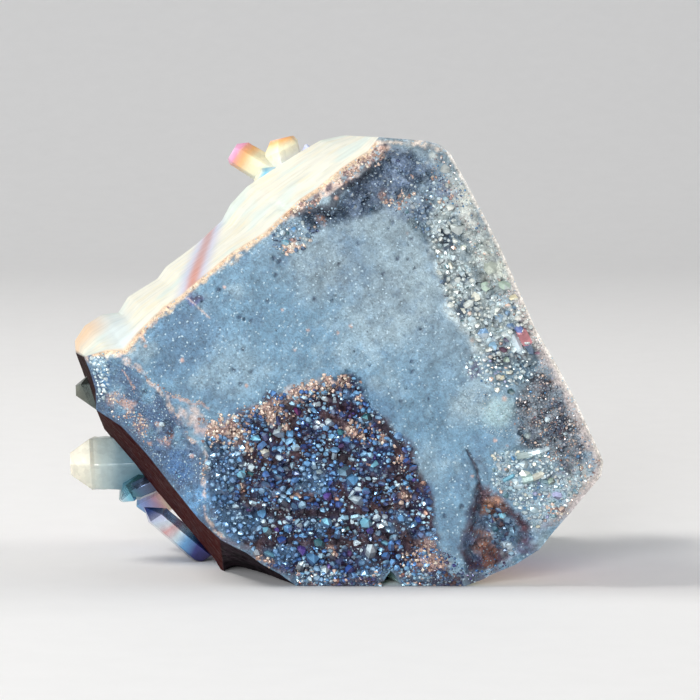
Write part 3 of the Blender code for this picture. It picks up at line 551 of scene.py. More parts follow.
# Round marks painted on the face: (x, z, radius, colour, strength). Later ones cover the earlier ones.
BROAD_TONES = (
    (-13.0, 21.5, 4.5, FROST_DEEP, 0.55), (-9.0, 18.5, 3.5, FROST_PALE, 0.35),
    (3.0, 15.0, 3.5, FROST_DEEP, 0.5), (7.5, 10.0, 2.6, FROST_PALE, 0.3), (9.0, 5.0, 2.8, FROST_DEEP, 0.3),
    (5.0, 24.0, 5.0, FROST_GREY, 0.7), (-1.0, 27.5, 4.5, FROST_GREY, 0.8),
    (8.0, 27.0, 3.2, FROST_PALE, 0.5), (11.5, 15.5, 2.8, FROST_PALE, 0.7),
    (14.0, 14.8, 2.0, rgb(176, 204, 204), 0.6), (-5.0, 22.0, 3.5, FROST_BLUE, 0.5),
)
SMALL_MARKS = (
    (-12.2, 24.6, 0.8, VIOLET, 0.5), (-11.9, 24.9, 0.45, MAROON, 0.6), (-13.6, 14.2, 1.3, INDIGO, 0.4),
    (-14.1, 13.2, 0.5, BROWN, 0.7), (-13.9, 12.8, 0.35, AMBER, 0.6), (-15.1, 13.6, 0.4, ICE, 0.6),
    (-18.9, 15.8, 0.9, PEACH, 0.5), (-17.9, 15.2, 0.7, PEACH, 0.6), (-16.9, 13.4, 0.9, COPPER, 0.45),
    (-14.6, 12.3, 0.5, PEACH, 0.6), (-13.4, 10.2, 1.5, rgb(70, 112, 160), 0.75),
    (-12.0, 7.2, 1.6, rgb(106, 156, 198), 0.8), (-15.9, 14.3, 0.9, rgb(74, 102, 138), 0.7),
    (-14.9, 11.5, 1.1, rgb(72, 98, 138), 0.5), (-17.6, 17.2, 1.0, rgb(72, 90, 124), 0.5),
    (-14.4, 15.8, 1.0, rgb(64, 84, 122), 0.45), (5.6, 32.2, 1.2, rgb(100, 118, 142), 0.6),
    (7.4, 32.2, 1.3, rgb(92, 110, 138), 0.65), (9.2, 33.8, 1.3, rgb(84, 98, 128), 0.6),
    (-0.3, 34.0, 0.9, rgb(84, 92, 116), 0.4), (13.4, 20.8, 1.0, rgb(84, 100, 132), 0.5),
    (-19.2, 20.2, 0.8, rgb(246, 238, 216), 1.0), (-18.0, 20.7, 0.8, rgb(238, 216, 188), 1.0),
    (-16.7, 21.6, 0.6, rgb(228, 192, 166), 0.9), (-15.7, 22.5, 0.5, rgb(232, 198, 174), 0.9),
    (-20.4, 19.0, 0.7, ICE, 0.75), (-19.9, 17.6, 0.6, SKY, 0.7), (-12.4, 14.6, 1.1, PALE_PEACH, 0.55),
    (-11.6, 13.4, 0.8, PEACH, 0.5), (-9.0, 6.4, 1.6, FROST_DEEP, 0.5), (-9.0, 3.4, 1.4, FROST_DEEP, 0.6),
    (-3.6, 29.3, 0.5, PEACH, 0.9), (-1.2, 31.2, 0.45, PEACH, 0.8), (4.2, 33.2, 0.6, PEACH, 0.6),
    (1.0, 26.0, 0.5, MAROON, 0.25), (13.2, 29.0, 1.2, rgb(190, 196, 188), 0.8),
    (15.0, 27.2, 1.4, rgb(198, 204, 190), 0.7), (16.8, 23.4, 0.9, PALE_YELLOW, 0.6),
    (11.3, 31.4, 1.0, rgb(212, 210, 200), 0.8), (9.6, 33.8, 0.9, rgb(116, 118, 132), 0.6),
    # The maroon marks at (15.6, 19.6) and (14.0, 19.3) are painted shadow beside the iridescent crystal.
    (8.2, 36.4, 0.6, IVORY, 0.4), (15.6, 19.6, 0.8, MAROON, 0.9), (14.0, 19.3, 0.8, MAROON, 0.8),
    (11.8, 18.4, 0.8, rgb(88, 84, 116), 0.8), (17.6, 20.6, 0.5, ICE, 0.7), (12.2, 10.4, 0.8, CHARCOAL, 0.4),
    (12.9, 8.1, 0.8, rgb(96, 62, 60), 0.75), (9.0, 2.0, 0.9, PALE_PEACH, 0.35), (8.9, 1.3, 0.7, NAVY, 0.85),
    (7.4, 2.1, 0.8, PEACH, 0.5), (18.4, 11.2, 1.4, FROST_PALE, 0.4),
    (20.6, 9.2, 1.6, rgb(196, 196, 186), 0.6), (19.2, 10.0, 0.9, rgb(104, 116, 138), 0.7),
    (14.0, 7.5, 0.7, rgb(90, 102, 128), 0.7), (17.9, 5.2, 0.9, rgb(124, 128, 144), 0.8),
    (16.5, 3.5, 1.0, rgb(84, 78, 104), 0.85), (13.6, 6.6, 1.3, rgb(196, 144, 112), 0.8),
    (11.5, 6.2, 0.8, SLATE, 0.6), (15.7, 4.9, 1.4, rgb(92, 60, 68), 0.8),
    (14.2, 4.5, 1.6, FROST_BLUE, 0.85), (15.0, 3.0, 0.7, ICE, 0.6),
    (12.7, 3.7, 1.2, rgb(176, 122, 92), 0.75), (13.2, 2.3, 1.0, rgb(124, 84, 66), 0.8),
    (11.5, 3.8, 0.9, SLATE, 0.8), (11.9, 1.9, 0.8, INDIGO, 0.5), (18.0, 3.4, 1.2, FROST_PALE, 0.6),
    (15.4, 13.8, 1.2, FROST_BLUE, 0.6),
)
GREY_WAY = (0.55, 0.85)        # the frosting gets greyer this way, (x, z), and between these distances
GREY_FADE = (16.0, 30.0)
# Clouds painted over the broad tones, as the function clouded takes them.
FROSTED_TONES = ((FROST_PALE, 0.45, 2.6, 51, 0.0, 0.5, 5), (FROST_DEEP, 0.45, 2.1, 57, 0.05, 0.6, 5),
                 (FROST_DEEP, 0.3, 0.5, 61, 0.1, 0.6))
# Grounds between the crystals: a colour, and the clouds over it.
GROUNDS = {
    "slate": (SLATE, (FROST_BLUE, 1.0, 1.6, 63, -0.1, 0.5), (INDIGO, 0.7, 1.1, 67, 0.05, 0.5)),
    "patch": (rgb(56, 34, 48), (rgb(40, 46, 84), 1.0, 1.5, 71, -0.2, 0.4), (BROWN, 0.5, 1.0, 73, 0.1, 0.5)),
    "steel": (FROST_DEEP, (SLATE, 1.0, 0.9, 75, -0.3, 0.3)),
    "bands": (rgb(52, 32, 42), (rgb(76, 48, 46), 1.0, 1.2, 79, -0.2, 0.4)),
    "hollow": (rgb(120, 136, 160), (SLATE * 0.7, 1.0, 0.8, 77, -0.15, 0.45, 4)),
    "flats": (rgb(168, 178, 178), (rgb(208, 210, 200), 1.0, 2.2, 81, -0.3, 0.4)),
    "crust": (rgb(80, 94, 112), (rgb(196, 208, 208), 1.0, 0.9, 83, -0.45, 0.1)),
    "dark": (CHARCOAL, (rgb(78, 56, 60), 1.0, 1.3, 87, -0.1, 0.5),
             (rgb(146, 154, 160), 0.85, 0.8, 89, -0.4, 0.2)),
    "low": (rgb(154, 176, 186), (rgb(96, 112, 128), 1.0, 0.8, 95, 0.0, 0.5)),
    "pocket": (rgb(96, 72, 82), (rgb(104, 122, 146), 1.0, 1.3, 93, -0.15, 0.25, 4)),
    "crumbs": (rgb(92, 72, 78), (PALE_PEACH, 1.0, 0.5, 98, -0.3, 0.25, 4)),
}
# Where the grounds lie: outline, ground, strength, and the distances inside it where it begins and is full.
GROUND_ZONES = (
    (BEVEL_FACET, "slate", 0.85, -0.05, 0.3), (DRUSE_COVER, "patch", 0.95, -0.3, 0.4),
    (HOLLOW, "hollow", 0.85, -0.6, 0.7), (RIGHT_FLATS, "flats", 0.85, -0.5, 0.5),
    (CRUST_BELT, "crust", 0.85, -0.6, 0.5), (DARK_DRUSE, "dark", 0.85, -0.9, 0.6),
    (LOWER_RIGHT, "low", 0.7, -0.5, 0.6), (CAVITY, "pocket", 0.95, -0.4, 0.4),
)
# Broken plates of the rough ground: (size, layer, height).
ROUGH_PLATES = ((0.75, 211, 0.7), (0.4, 217, 0.5))
FACE_BOX = ((-21.0, 22.5), (0.5, 37.5))             # the box, across and up, that spots are drawn from
FLAKE_COUNT, FLAKE_RADII = 5500, (0.02, 0.055)      # bright facets of the frosted surface
DIMPLE_COUNT, DIMPLE_RADII = 100, (0.1, 0.28)       # its dark pin pits
DOT_COUNT, DOT_RADII = 40, (0.12, 0.3)              # its peach dots


def scattered(dice, count, radii, margin=0.7):
    """Random places on the broken face as (x, z, radius)."""
    spots = []
    while len(spots) < count:
        batch = np.array([[dice.uniform(*side) for side in FACE_BOX] for _ in range(count)])
        keep = inside_distance(batch, RIM_LINE) > margin
        spots += [(x, z, dice.uniform(*radii)) for x, z in batch[keep]]
    return spots[:count]


def plain_share(points):
    """1 on the frosted parts of the face and 0 in its sunken, druse-covered zones."""
    share = np.ones(len(points))
    for zone, _, _ in SUNKEN_ZONES:
        share *= fade(inside_distance(points, zone), -0.5, 0.3)
    return share


def spots_share(points, spots):
    """How far each point lies inside the nearest of many small round spots, 0 to 1."""
    share = np.zeros(len(points))
    for x, z, radius in spots:
        near = np.flatnonzero((abs(points[:, 0] - x) < radius) & (abs(points[:, 1] - z) < radius))
        reach = place_distance(points[near], x, z)
        share[near] = np.maximum(share[near], fade(reach, 0.35 * radius, radius))
    return share


def round_share(points, spots, inner, outer):
    """How far each point lies in round spots (x, z, radius), from 1 at the inner share of a radius to 0."""
    soft = wander(points, 0.4, 0.8)
    shares = [fade(place_distance(soft, x, z), inner * radius, outer * radius) for x, z, radius in spots]
    return np.max(shares, axis=0)


def group_share(points):
    """Where groups of bright crystals lie in the druse patch, 0 to 1."""
    return round_share(points, BRIGHT_GROUPS, 0.4, 1.3)


def bed_share(points):
    """Where beds of peach grains lie in the druse patch, 0 to 1."""
    return round_share(points, PEACH_BEDS, 0.6, 1.2)


def line_share(points, path, full, none):
    """1 up to the full distance from a path, and 0 from the other distance on."""
    return fade(path_distance(points, path), full, none)


def band_share(points):
    """Where dark bands cross the druse patch, 0 to 1."""
    soft = wander(points, 0.5, 1.0)
    shares = [line_share(soft, path, 0.4 * half_width, 1.5 * half_width) for path, half_width in DARK_BANDS]
    return np.max(shares, axis=0)


def crumbly_share(points):
    """Where the face carries a crumbly peach crust, 0 to 1."""
    soft = wander(points, 0.6, 1.2)
    crest = line_share(soft, PATCH_CREST, 0.2, 1.0)
    return np.maximum(line_share(soft, TOP_CRUST, 0.3, 0.8), crest * clouds(points, 1.5, 99, -0.35, 0.05))


def fine_relief(points, dimples):
    """Grain of the broken face: fine frosting, coarser in the sunken zones, and pin pits."""
    plain = plain_share(points)
    grain = 0.02 * fractal(points, 1.3, 31, 3) + 0.014 * fractal(points, 0.3, 37, 2)
    rough = 0.14 * fractal(points, 0.9, 41, 3) - 0.22 * crumbly_share(points) * value_noise(points, 0.4, 45)
    coarse, fine = (height * plates(points, size, layer)[0] for size, layer, height in ROUGH_PLATES)
    rough += coarse + fine
    crumble = 0.16 * fractal(points, 0.5, 47, 2) * line_share(points, RIM_LOOP, 0.0, 1.1)
    return grain * plain + rough * (1.0 - plain) + crumble + 0.12 * spots_share(points, dimples)


def paint_marks(tint, points, marks, inner, outer, cover=1.0):
    """Round marks over the tint, full up to the inner share of their radius and gone at the outer share."""
    for x, z, radius, colour, strength in marks:
        reach = place_distance(points, x, z)
        tint = mix(tint, colour, cover * strength * fade(reach, inner * radius, outer * radius))
    return tint


def face_tint(points, dimples, dots):
    """Colour of the broken face at (x, z), with painted shade along its foot."""
    soft = wander(points)
    greyness = smooth(GREY_WAY[0] * soft[:, 0] + GREY_WAY[1] * soft[:, 1], *GREY_FADE)
    tint = mix(FROST_BLUE, FROST_GREY, greyness)
    tint = paint_marks(tint, soft, BROAD_TONES, 0.3, 1.0)
    tint = clouded(tint, points, *FROSTED_TONES)
    tint = paint_zones(tint, soft, points)
    crumbs = 0.3 + 0.7 * clouds(points, 0.5, 241, -0.3, 0.15, 4)
    tint = paint_marks(tint, wander(points, 0.7, 0.8), SMALL_MARKS, 0.5, 1.15, crumbs)
    tint = paint_lines(tint, soft, points)
    plain = plain_share(points)
    pushed = wander(points, 0.14, 0.35)
    tint = mix(tint, NAVY, 0.7 * spots_share(pushed, dimples) * plain)
    tint = mix(tint, PEACH, 0.7 * spots_share(pushed, dots) * plain)
    # Painted shade: the face is darkened towards the ground, along its foot.
    foot = points[:, 1] + 0.9 * fractal(points, 0.9, 233)
    tint = mix(tint, PAINTED_FOOT_SHADE, 0.85 * fade(foot, 0.1, 1.1))
    return tint * face_tone(points, plain)[:, None]


def face_tone(points, plain):
    """Fine light and shade of the face: drawn frosting where it is plain, broken plates where it is rough."""
    coarse, fine = (plates(points, size, layer)[1] for size, layer, _ in ROUGH_PLATES)
    broken = 0.5 * (coarse + fine) - 0.5
    drawn = np.column_stack((points[:, 0] + points[:, 1], 6.0 * (points[:, 1] - points[:, 0])))
    frosting = 0.2 * fractal(drawn, 1.5, 227) + 0.3 * fractal(points, 0.9, 229, 4)
    frosting += 0.3 * (value_noise(points, 0.14, 223) - 0.5)
    return 1.0 + 1.1 * broken * (1.0 - 0.85 * plain) + frosting * (0.4 + 0.6 * plain)


def steel_share(points):
    """Where the ground of the druse patch is steel blue instead of dark, 0 to 1."""
    left = fade(points[:, 0] + 0.35 * fractal(points, 1.5, 165) * 4.0, -9.6, -6.4)
    soft = wander(points, 0.5, 0.8)
    middle = fade(place_distance(soft, -2.0, 8.9), 0.9, 1.9)
    return np.max([0.9 * left, clouds(points, 2.3, 169, 0.02, 0.3, 4), middle], axis=0)


def ground(name, points):
    """Colours of one of the grounds."""
    first, *layers = GROUNDS[name]
    return clouded(first, points, *layers)


def druse_ground(points):
    """Ground between the crystals of the big druse patch."""
    tint = mix(ground("patch", points), ground("steel", points), 0.85 * steel_share(points))
    tint = mix(tint, ground("bands", points), 0.9 * band_share(points))
    return mix(tint, rgb(150, 118, 108), 0.75 * bed_share(points))


def paint_zones(tint, soft, points):
    """The left facet, and the grounds of the sunken zones between their crystals, with a painted shadow in
    the hollow.
    """
    for outline, name, strength, begin, full in GROUND_ZONES:
        colours = druse_ground(points) if name == "patch" else ground(name, points)
        if name == "hollow":
            # Painted shadow of navy along the ledge of the hollow.
            colours = mix(colours, NAVY, 0.75 * line_share(soft, HOLLOW_SHADE, 0.4, 1.8))
        tint = mix(tint, colours, strength * smooth(inside_distance(soft, outline), begin, full))
    return mix(tint, rgb(80, 60, 62), 0.7 * line_share(wander(points, 0.7), CRACK, 0.02, 0.18))


def paint_rim(tint, points):
    """Pale and cream rims of the face's right and upper left edges, and a painted highlight along the right
    edge.
    """
    rim = path_distance(points, RIM_LINE) + 0.12 * fractal(points, 0.5, 94)
    lower_right = 0.8 * smooth(points[:, 0], 14.0, 16.0) * smooth(points[:, 1], 4.6, 6.8)
    ragged = fade(rim + 0.5 * fractal(points, 0.6, 243), 0.35, 1.3)
    tint = mix(tint, rgb(214, 200, 194), lower_right * ragged)
    # Painted highlight: a thin near-white line along the right edge.
    right_edge_highlight = smooth(points[:, 0], 8.0, 10.0) * smooth(points[:, 1], 8.0, 10.0)
    tint = mix(tint, rgb(238, 232, 222), 0.9 * right_edge_highlight * fade(rim, 0.12, 0.36))
    cream_edge = fade(rim, 0.16, 0.42) * line_share(points, CREAM_EDGE, 0.8, 1.4)
    return mix(tint, rgb(236, 204, 170), 0.9 * cream_edge)


def paint_lines(tint, soft, points):
    """Crumbly edges, crests and seams of the face, and a painted shadow under the hollow's ledge."""
    speckle = clouds(points, 0.42, 97, -0.35, 0.35)
    crumbs = 0.85 * crumbly_share(points) * clouds(points, 0.55, 96, -0.5, 0.0)
    tint = mix(tint, ground("crumbs", points), crumbs)
    tint = paint_rim(tint, points)
    lines = (
        # path, half width, colour, strength
        (RIDGE_LINE, 0.3, PALE_PEACH, 0.6 * speckle), (SIDE_LINE, 0.12, PEACH, 0.55),
        # The hollow's line is a painted shadow, near black, under its ledge.
        (FACET_LINE, 0.12, PEACH, 0.6), (HOLLOW_SHADE, 0.42, rgb(30, 30, 48), 0.8),
        (CREAM_EDGE, 0.3, rgb(222, 202, 176), 0.9 * speckle),
        (TOP_RIM, 0.3, rgb(232, 218, 204), 0.75 * speckle + 0.15),
        (BOTTOM_RIM, 0.8, rgb(104, 98, 112), 0.75 * speckle),
    )
    for path, half_width, colour, strength in lines:
        tint = mix(tint, colour, strength * line_share(soft, path, 0.45 * half_width, half_width))
    return mix(tint, PALE_PEACH, 0.5 * line_share(points, SCRATCH, 0.03, 0.09))


def broken_face(rim, dimples, dots):
    """Fine mesh of the broken face: points, triangles, colours, and the place of each rim point."""
    outline = np.array([row[0] for row in rim])
    low, high = outline.min(0), outline.max(0)
    columns, rows = np.meshgrid(*(np.arange(low[k], high[k], FACE_SPACING) for k in range(2)))
    grid = np.column_stack((columns.ravel(), rows.ravel()))
    grid[:, 0] += 0.5 * FACE_SPACING * (np.round((grid[:, 1] - low[1]) / FACE_SPACING) % 2)
    grid += np.random.default_rng(SEED).uniform(-FACE_JITTER, FACE_JITTER, grid.shape) * FACE_SPACING
    grid = grid[inside_distance(grid, tuple(map(tuple, outline))) > 0.6 * FACE_SPACING]
    places = np.vstack((outline, grid))
    edges = [(i, (i + 1) % len(outline)) for i in range(len(outline))]
    flat = [Vector(place) for place in places]
    corners, _, triangles, sources, *_ = geometry.delaunay_2d_cdt(flat, edges, [], 1, 1e-6)
    places = np.array([tuple(corner) for corner in corners])
    grain = fine_relief(places, dimples)
    place_of = {source: i for i, ids in enumerate(sources) for source in ids}
    rim_places = [place_of[i] for i in range(len(outline))]
    grain[rim_places] = 0.0
    points = on_face(places, face_depth(places) + grain)
    return points, [tuple(triangle) for triangle in triangles], face_tint(places, dimples, dots), rim_places


# ---------------------------------------------------------------- prism faces and termination
FRONT, PRISM, CREAM_SIDE, STRIP = range(4)          # material slots of the big crystal
RED_BAND_FRONT, RED_BAND_BACK = 0.638, 0.478        # place of the red band along the cream face
CREAM_FACE = CORNERS.index(TOP_LEFT)
STRIP_FACE = CORNERS.index(LEFT_FOOT)
UNDER_FACE = CORNERS.index(LOWER_LEFT)
TOP_FACE = CORNERS.index(TOP_RIGHT)
STRIATION = 0.022              # depth of the finest growth step
# Share of that depth on the smoother faces.
STRIATION_SHARES = {CREAM_FACE: 0.12, STRIP_FACE: 0.35, STRIP_FACE - 1: 0.35}
NEAR = 3                       # an edge's direction is taken over this many points to each side
STEP_SPREAD = (0.6, 20.0)      # how quickly the growth steps change along the edge and on the way back
LINE_SPREAD = 60.0             # how quickly the finer growth lines change on the way back


def prism_point_rows(rim, shares):
    """Rings of points of the prism faces, one ring per share of the way back."""
    fronts = np.array([row[0] for row in rim])
    straights = np.array([row[1] for row in rim])
    shoulders = np.array([row[2] for row in rim])
    depths = face_depth(fronts)
    ring_shares, ring_weights = zip(*PRISM_RINGS)
    ahead, behind = np.roll(fronts, -NEAR, axis=0), np.roll(fronts, NEAR, axis=0)
    outward = np.column_stack(((ahead - behind)[:, 1], -(ahead - behind)[:, 0]))
    outward /= np.linalg.norm(outward, axis=1)[:, None]
    along = np.array([row[3] * 10.0 + 3.0 * row[4] for row in rim])
    rows = []
    steepness = np.array([STRIATION_SHARES.get(row[3], 1.0) for row in rim])
    for share in shares:
        irregular = np.interp(share, ring_shares, ring_weights)
        ring = mix(on_face(mix(straights, fronts, irregular), depths), shoulders, share)
        step_place = np.column_stack((along * STEP_SPREAD[0], np.full(len(rim), share * STEP_SPREAD[1])))
        steps = STRIATION * (np.floor(5.0 * value_noise(step_place, 1.1, 5)) - 2.0)
        line_place = np.column_stack((along, np.full(len(rim), share * LINE_SPREAD)))
        steps += 0.5 * STRIATION * fractal(line_place, 1.0, 9, 2)
        strength = smooth(share, 0.0, 0.05) * fade(share, 0.95, 1.0)
        ring[:, (0, 2)] -= outward * np.abs(steps * steepness)[:, None] * strength
        rows.append(ring)
    return rows


def cream_tint(ring, place, along, share):
    """Colours of the cream face, with its red band and its orange left end."""
    cream = clouded(CREAM, place, (PALE_YELLOW, 0.55, 2.2, 107, -0.1, 0.5))
    cream = clouded(cream, ring, (rgb(218, 236, 230), 0.7, 3.5, 109, -0.05, 0.4))
    cream = clouded(cream, place * (0.5, 1.0, 0.5), (rgb(206, 212, 200), 0.45, 1.2, 111, 0.05, 0.5))
    cream = mix(cream, rgb(200, 222, 232), 0.6 * smooth(along, 0.8, 0.86) * fade(along, 0.88, 0.95))
    band = np.abs(along - (RED_BAND_FRONT + (RED_BAND_BACK - RED_BAND_FRONT) * share))
    red = mix(rgb(212, 134, 106), rgb(194, 146, 140), smooth(share, 0.1, 0.7))
    cream = mix(cream, LAVENDER, 0.7 * fade(band, 0.024, 0.08))
    cream = mix(cream, red, 0.85 * fade(band + 0.006 * fractal(ring, 0.8, 115), 0.004, 0.038))
    cream = mix(cream, ORANGE, 0.55 * smooth(along, 0.84, 0.93) * smooth(share, 0.25, 0.8))
    crumble = clouds(ring, 0.6, 113, -0.3, 0.3) * fade(share, 0.0, 0.035)
    return mix(cream, ORANGE, 0.7 * crumble * smooth(along, 0.25, 0.7))


def strip_tint(ring, along, share):
    """Colours of the narrow red-brown strip, with a painted highlight along its front edge."""
    strip = mix(STRIP_RED, STRIP_ORANGE, np.clip(0.75 * along + 0.3 * fractal(ring, 2.0, 117), 0.0, 1.0))
    strip = clouded(strip, ring, (rgb(26, 10, 18), 0.5, 1.6, 119, 0.1, 0.7))
    # Painted highlight: a thin peach line along the strip's front edge.
    return mix(strip, PEACH, 0.45 * fade(share, 0.0, 0.012))


def prism_tint(rim, share, ring):
    """Colours of one ring of the prism faces, with painted shade on the under face and on the strip's upper
    face.
    """
    faces = np.array([row[3] for row in rim])
    along = np.array([row[4] for row in rim])
    place = ring * (1.0, 3.0, 1.0)
    thickness = 0.38 + 0.35 * fractal(ring, 6.0, 101) + 0.55 * share + 0.16 * fractal(place, 1.5, 103)
    tint = mix(film_colour(thickness + 0.13 * faces), rgb(150, 176, 196), 0.35)
    top = clouded(CREAM, ring, (PALE_PEACH, 1.0, 1.5, 121, -0.3, 0.4))
    strip = strip_tint(ring, along, share)
    special = {
        CREAM_FACE: cream_tint(ring, place, along, share),
        # Painted shade: the under face is painted near black.
        UNDER_FACE: clouded(rgb(20, 12, 18), ring, (rgb(48, 36, 44), 1.0, 1.2, 118, -0.3, 0.4)),
        STRIP_FACE: strip,
        # Painted shade: the strip's upper face is painted at 0.4 of the strip's colour.
        STRIP_FACE - 1: 0.4 * strip,
        TOP_FACE: mix(top, tint, smooth(share, 0.2, 0.9)),
    }
    for face, colours in special.items():
        tint = np.where((faces == face)[:, None], colours, tint)
    return tint


def big_crystal(materials):
    """The big crystal as one closed mesh."""
    dice = random.Random(SEED)
    dimples = scattered(dice, DIMPLE_COUNT, DIMPLE_RADII)
    dots = scattered(dice, DOT_COUNT, DOT_RADII)
    rim = rim_points(RIM_SPACING)
    points, faces, tints, ring = broken_face(rim, dimples, dots)
    points, tints = list(points), list(tints)
    slots = [FRONT] * len(faces)
    side_slots = {CREAM_FACE: CREAM_SIDE, STRIP_FACE: STRIP, STRIP_FACE - 1: STRIP, STRIP_FACE + 1: STRIP}
    ring_slots = [side_slots.get(row[3], PRISM) for row in rim]
    shares = np.linspace(0.0, 1.0, PRISM_RING_COUNT + 1)[1:]
    for share, row in zip(shares, prism_point_rows(rim, shares)):
        following = range(len(points), len(points) + len(rim))
        points += list(row)
        tints += list(prism_tint(rim, share, row))
        faces += join_rings(ring, following)
        slots += ring_slots
        ring = following
    add_termination(points, faces, tints, ring)
    slots += [PRISM] * (len(faces) - len(slots))
    points = np.array(points)
    low = points[:, 2] < REST_RAMP
    points[low, 2] = np.interp(points[low, 2], (REST_BAND, REST_RAMP), (0.0, REST_RAMP))
    return make_mesh("big_crystal", points, faces, np.array(tints), materials, slots, smooth_angle=38.0)


def add_termination(points, faces, tints, ring):
    """Closes the shoulder ring on the short ridge, with growth steps on the way."""
    start = np.array([points[i] for i in ring])
    high_end = start[:, 2] > 0.5 * (RIDGE_HIGH[2] + RIDGE_LOW[2])
    ends = np.where(high_end[:, None], RIDGE_HIGH, RIDGE_LOW)
    for share in np.linspace(0.0, 1.0, CAP_RING_COUNT + 1)[1:-1]:
        row = mix(start, ends, share)
        wave = fractal(row, 3.0, 131)
        steps = np.floor(4.0 * value_noise(row, 2.4, 135)) * 0.05
        row[:, 1] -= steps * math.sin(math.pi * share)
        following = range(len(points), len(points) + len(ring))
        points += list(row)
        tints += list(mix(film_colour(0.5 + 0.5 * wave + 0.6 * share), rgb(120, 150, 180), 0.35))
        faces += join_rings(ring, following)
        ring = following
    top = len(points)
    points += [np.array(RIDGE_HIGH), np.array(RIDGE_LOW)]
    tints += [SKY, VIOLET]
    closing = [top if is_high else top + 1 for is_high in high_end]
    for i in range(len(ring)):
        j = (i + 1) % len(ring)
        faces.append((ring[i], ring[j], closing[i]))
        if closing[i] != closing[j]:
            faces.append((ring[j], closing[j], closing[i]))


# ---------------------------------------------------------------- druse and crusts
FACE_OUT = np.array((0.0, -1.0, 0.087))            # way out of the broken face
# The way the painted light on the crystals' facets comes from.
TOWARDS_SKY = np.array((-0.45, -0.55, 0.7))
TOWARDS_SKY /= np.linalg.norm(TOWARDS_SKY)

# Colours of the painted shade on the crystals' facets that face away, which also tint their dark streaks:
# (colour, weight).
DRUSE_SHADES = ((rgb(66, 42, 56), 40), (rgb(46, 54, 92), 34), (VIOLET * 0.6, 12), (BROWN, 14))
CRUST_SHADES = ((CHARCOAL, 12), (TEAL * 0.5, 6), (NAVY, 8), (rgb(178, 186, 186), 74))
DARK_SHADES = ((rgb(92, 96, 110), 50), (rgb(112, 84, 88), 28), (SLATE, 22))
STEEL_SHADES = ((FROST_DEEP * 0.7, 50), (INDIGO, 30), (NAVY, 20))
LOW_SHADES = ((SLATE, 40), (rgb(124, 138, 148), 40), (TEAL * 0.6, 20))
PEACH_TINTS = ((rgb(190, 158, 144), 26), (rgb(218, 194, 178), 32), (rgb(160, 134, 130), 24),
               (rgb(230, 218, 200), 18))
RIM_SHADES = ((rgb(92, 92, 104), 50), (rgb(150, 138, 138), 50))
FROST_SHADES = ((FROST_BLUE * 1.4, 1), (FROST_PALE, 1))

# Colours of the crystals along a scale from their darkest to their brightest.
DRUSE_SCALE = shade_scale((0.0, 50, 58, 110), (0.2, 70, 104, 174), (0.4, 94, 146, 208),
                          (0.6, 134, 192, 236), (0.8, 180, 226, 250), (1.0, 222, 244, 254))
STEEL_SCALE = shade_scale((0.0, 80, 112, 156), (0.5, 120, 168, 214), (1.0, 188, 224, 248))
CRUST_SCALE = shade_scale((0.0, 136, 160, 176), (0.25, 180, 200, 208), (0.5, 216, 228, 228),
                          (0.75, 242, 246, 236), (1.0, 255, 254, 244))
DARK_SCALE = shade_scale((0.0, 84, 88, 104), (0.25, 136, 146, 160), (0.5, 186, 200, 210),
                         (0.7, 236, 212, 198), (1.0, 246, 250, 250))
LOW_SCALE = shade_scale((0.0, 122, 156, 176), (0.3, 182, 212, 222), (0.55, 226, 242, 242),
                        (0.8, 240, 250, 252), (1.0, 254, 248, 226))
POCKET_SCALE = shade_scale((0.0, 72, 62, 80), (0.4, 104, 138, 168), (0.7, 152, 194, 216),
                           (1.0, 224, 242, 246))
HOLLOW_SCALE = shade_scale((0.0, 58, 74, 110), (0.4, 108, 132, 162), (0.7, 156, 182, 200),
                           (1.0, 222, 234, 232))
FROST_SCALE = shade_scale((0.0, 110, 146, 172), (0.5, 140, 172, 192), (0.8, 180, 206, 218),
                          (1.0, 226, 240, 244))
RIM_SCALE = shade_scale((0.0, 120, 124, 136), (0.4, 196, 188, 186), (0.7, 238, 222, 212),
                        (1.0, 254, 250, 244))
GLITTER_SCALE = shade_scale((0.0, 76, 104, 140), (0.5, 108, 150, 190), (0.8, 162, 204, 230),
                            (1.0, 236, 248, 252))
# Crystals of another colour: (colour, chance).
DRUSE_ODD = ((VIOLET, 0.02), (PEACH, 0.02), (TEAL, 0.01), (MAGENTA, 0.002))
CRUST_ODD = ((rgb(96, 132, 138), 0.01), (rgb(142, 174, 202), 0.025), (PALE_PEACH, 0.04))
DARK_ODD = ((PALE_PEACH, 0.16), (SKY, 0.03), (COPPER, 0.03), (ICE, 0.16))
LOW_ODD = ((PALE_PEACH, 0.08), (LAVENDER, 0.05), (SKY, 0.05))

# Zones that carry crystals but have no ground colour of their own.
UPPER_BELT = ((4.4, 32.6), (7.2, 34.0), (9.4, 35.6), (11.2, 33.8), (9.8, 32.4), (8.4, 32.6), (7.8, 29.8),
              (6.2, 31.2))
SMALL_CLUSTER = ((-5.6, 30.2), (-4.4, 31.0), (-2.6, 31.2), (-1.4, 30.6), (-2.6, 28.9), (-4.2, 28.3),
                 (-5.3, 28.9))
LEFT_GLITTER = ((-21.2, 19.6), (-19.9, 19.9), (-19.3, 18.0), (-19.9, 15.6), (-20.8, 15.4), (-20.9, 17.6))
BASE_EDGE = ((-6.6, 1.9), (-3.4, 0.1), (2.3, 0.0), (4.4, 1.0), (5.6, 0.2), (12.6, 0.3), (16.0, 2.2),
             (12.6, 1.4), (4.8, 1.7), (0.0, 1.1), (-4.4, 2.0))
RIGHT_RIM = ((8.6, 37.2), (9.8, 36.0), (13.0, 30.4), (15.9, 24.0), (18.5, 18.6), (21.8, 11.6), (22.6, 10.4),
             (18.6, 5.0), (17.4, 5.6), (20.4, 10.2), (19.6, 12.4), (16.8, 17.8), (14.2, 23.4), (11.2, 29.6),
             (8.0, 35.0))
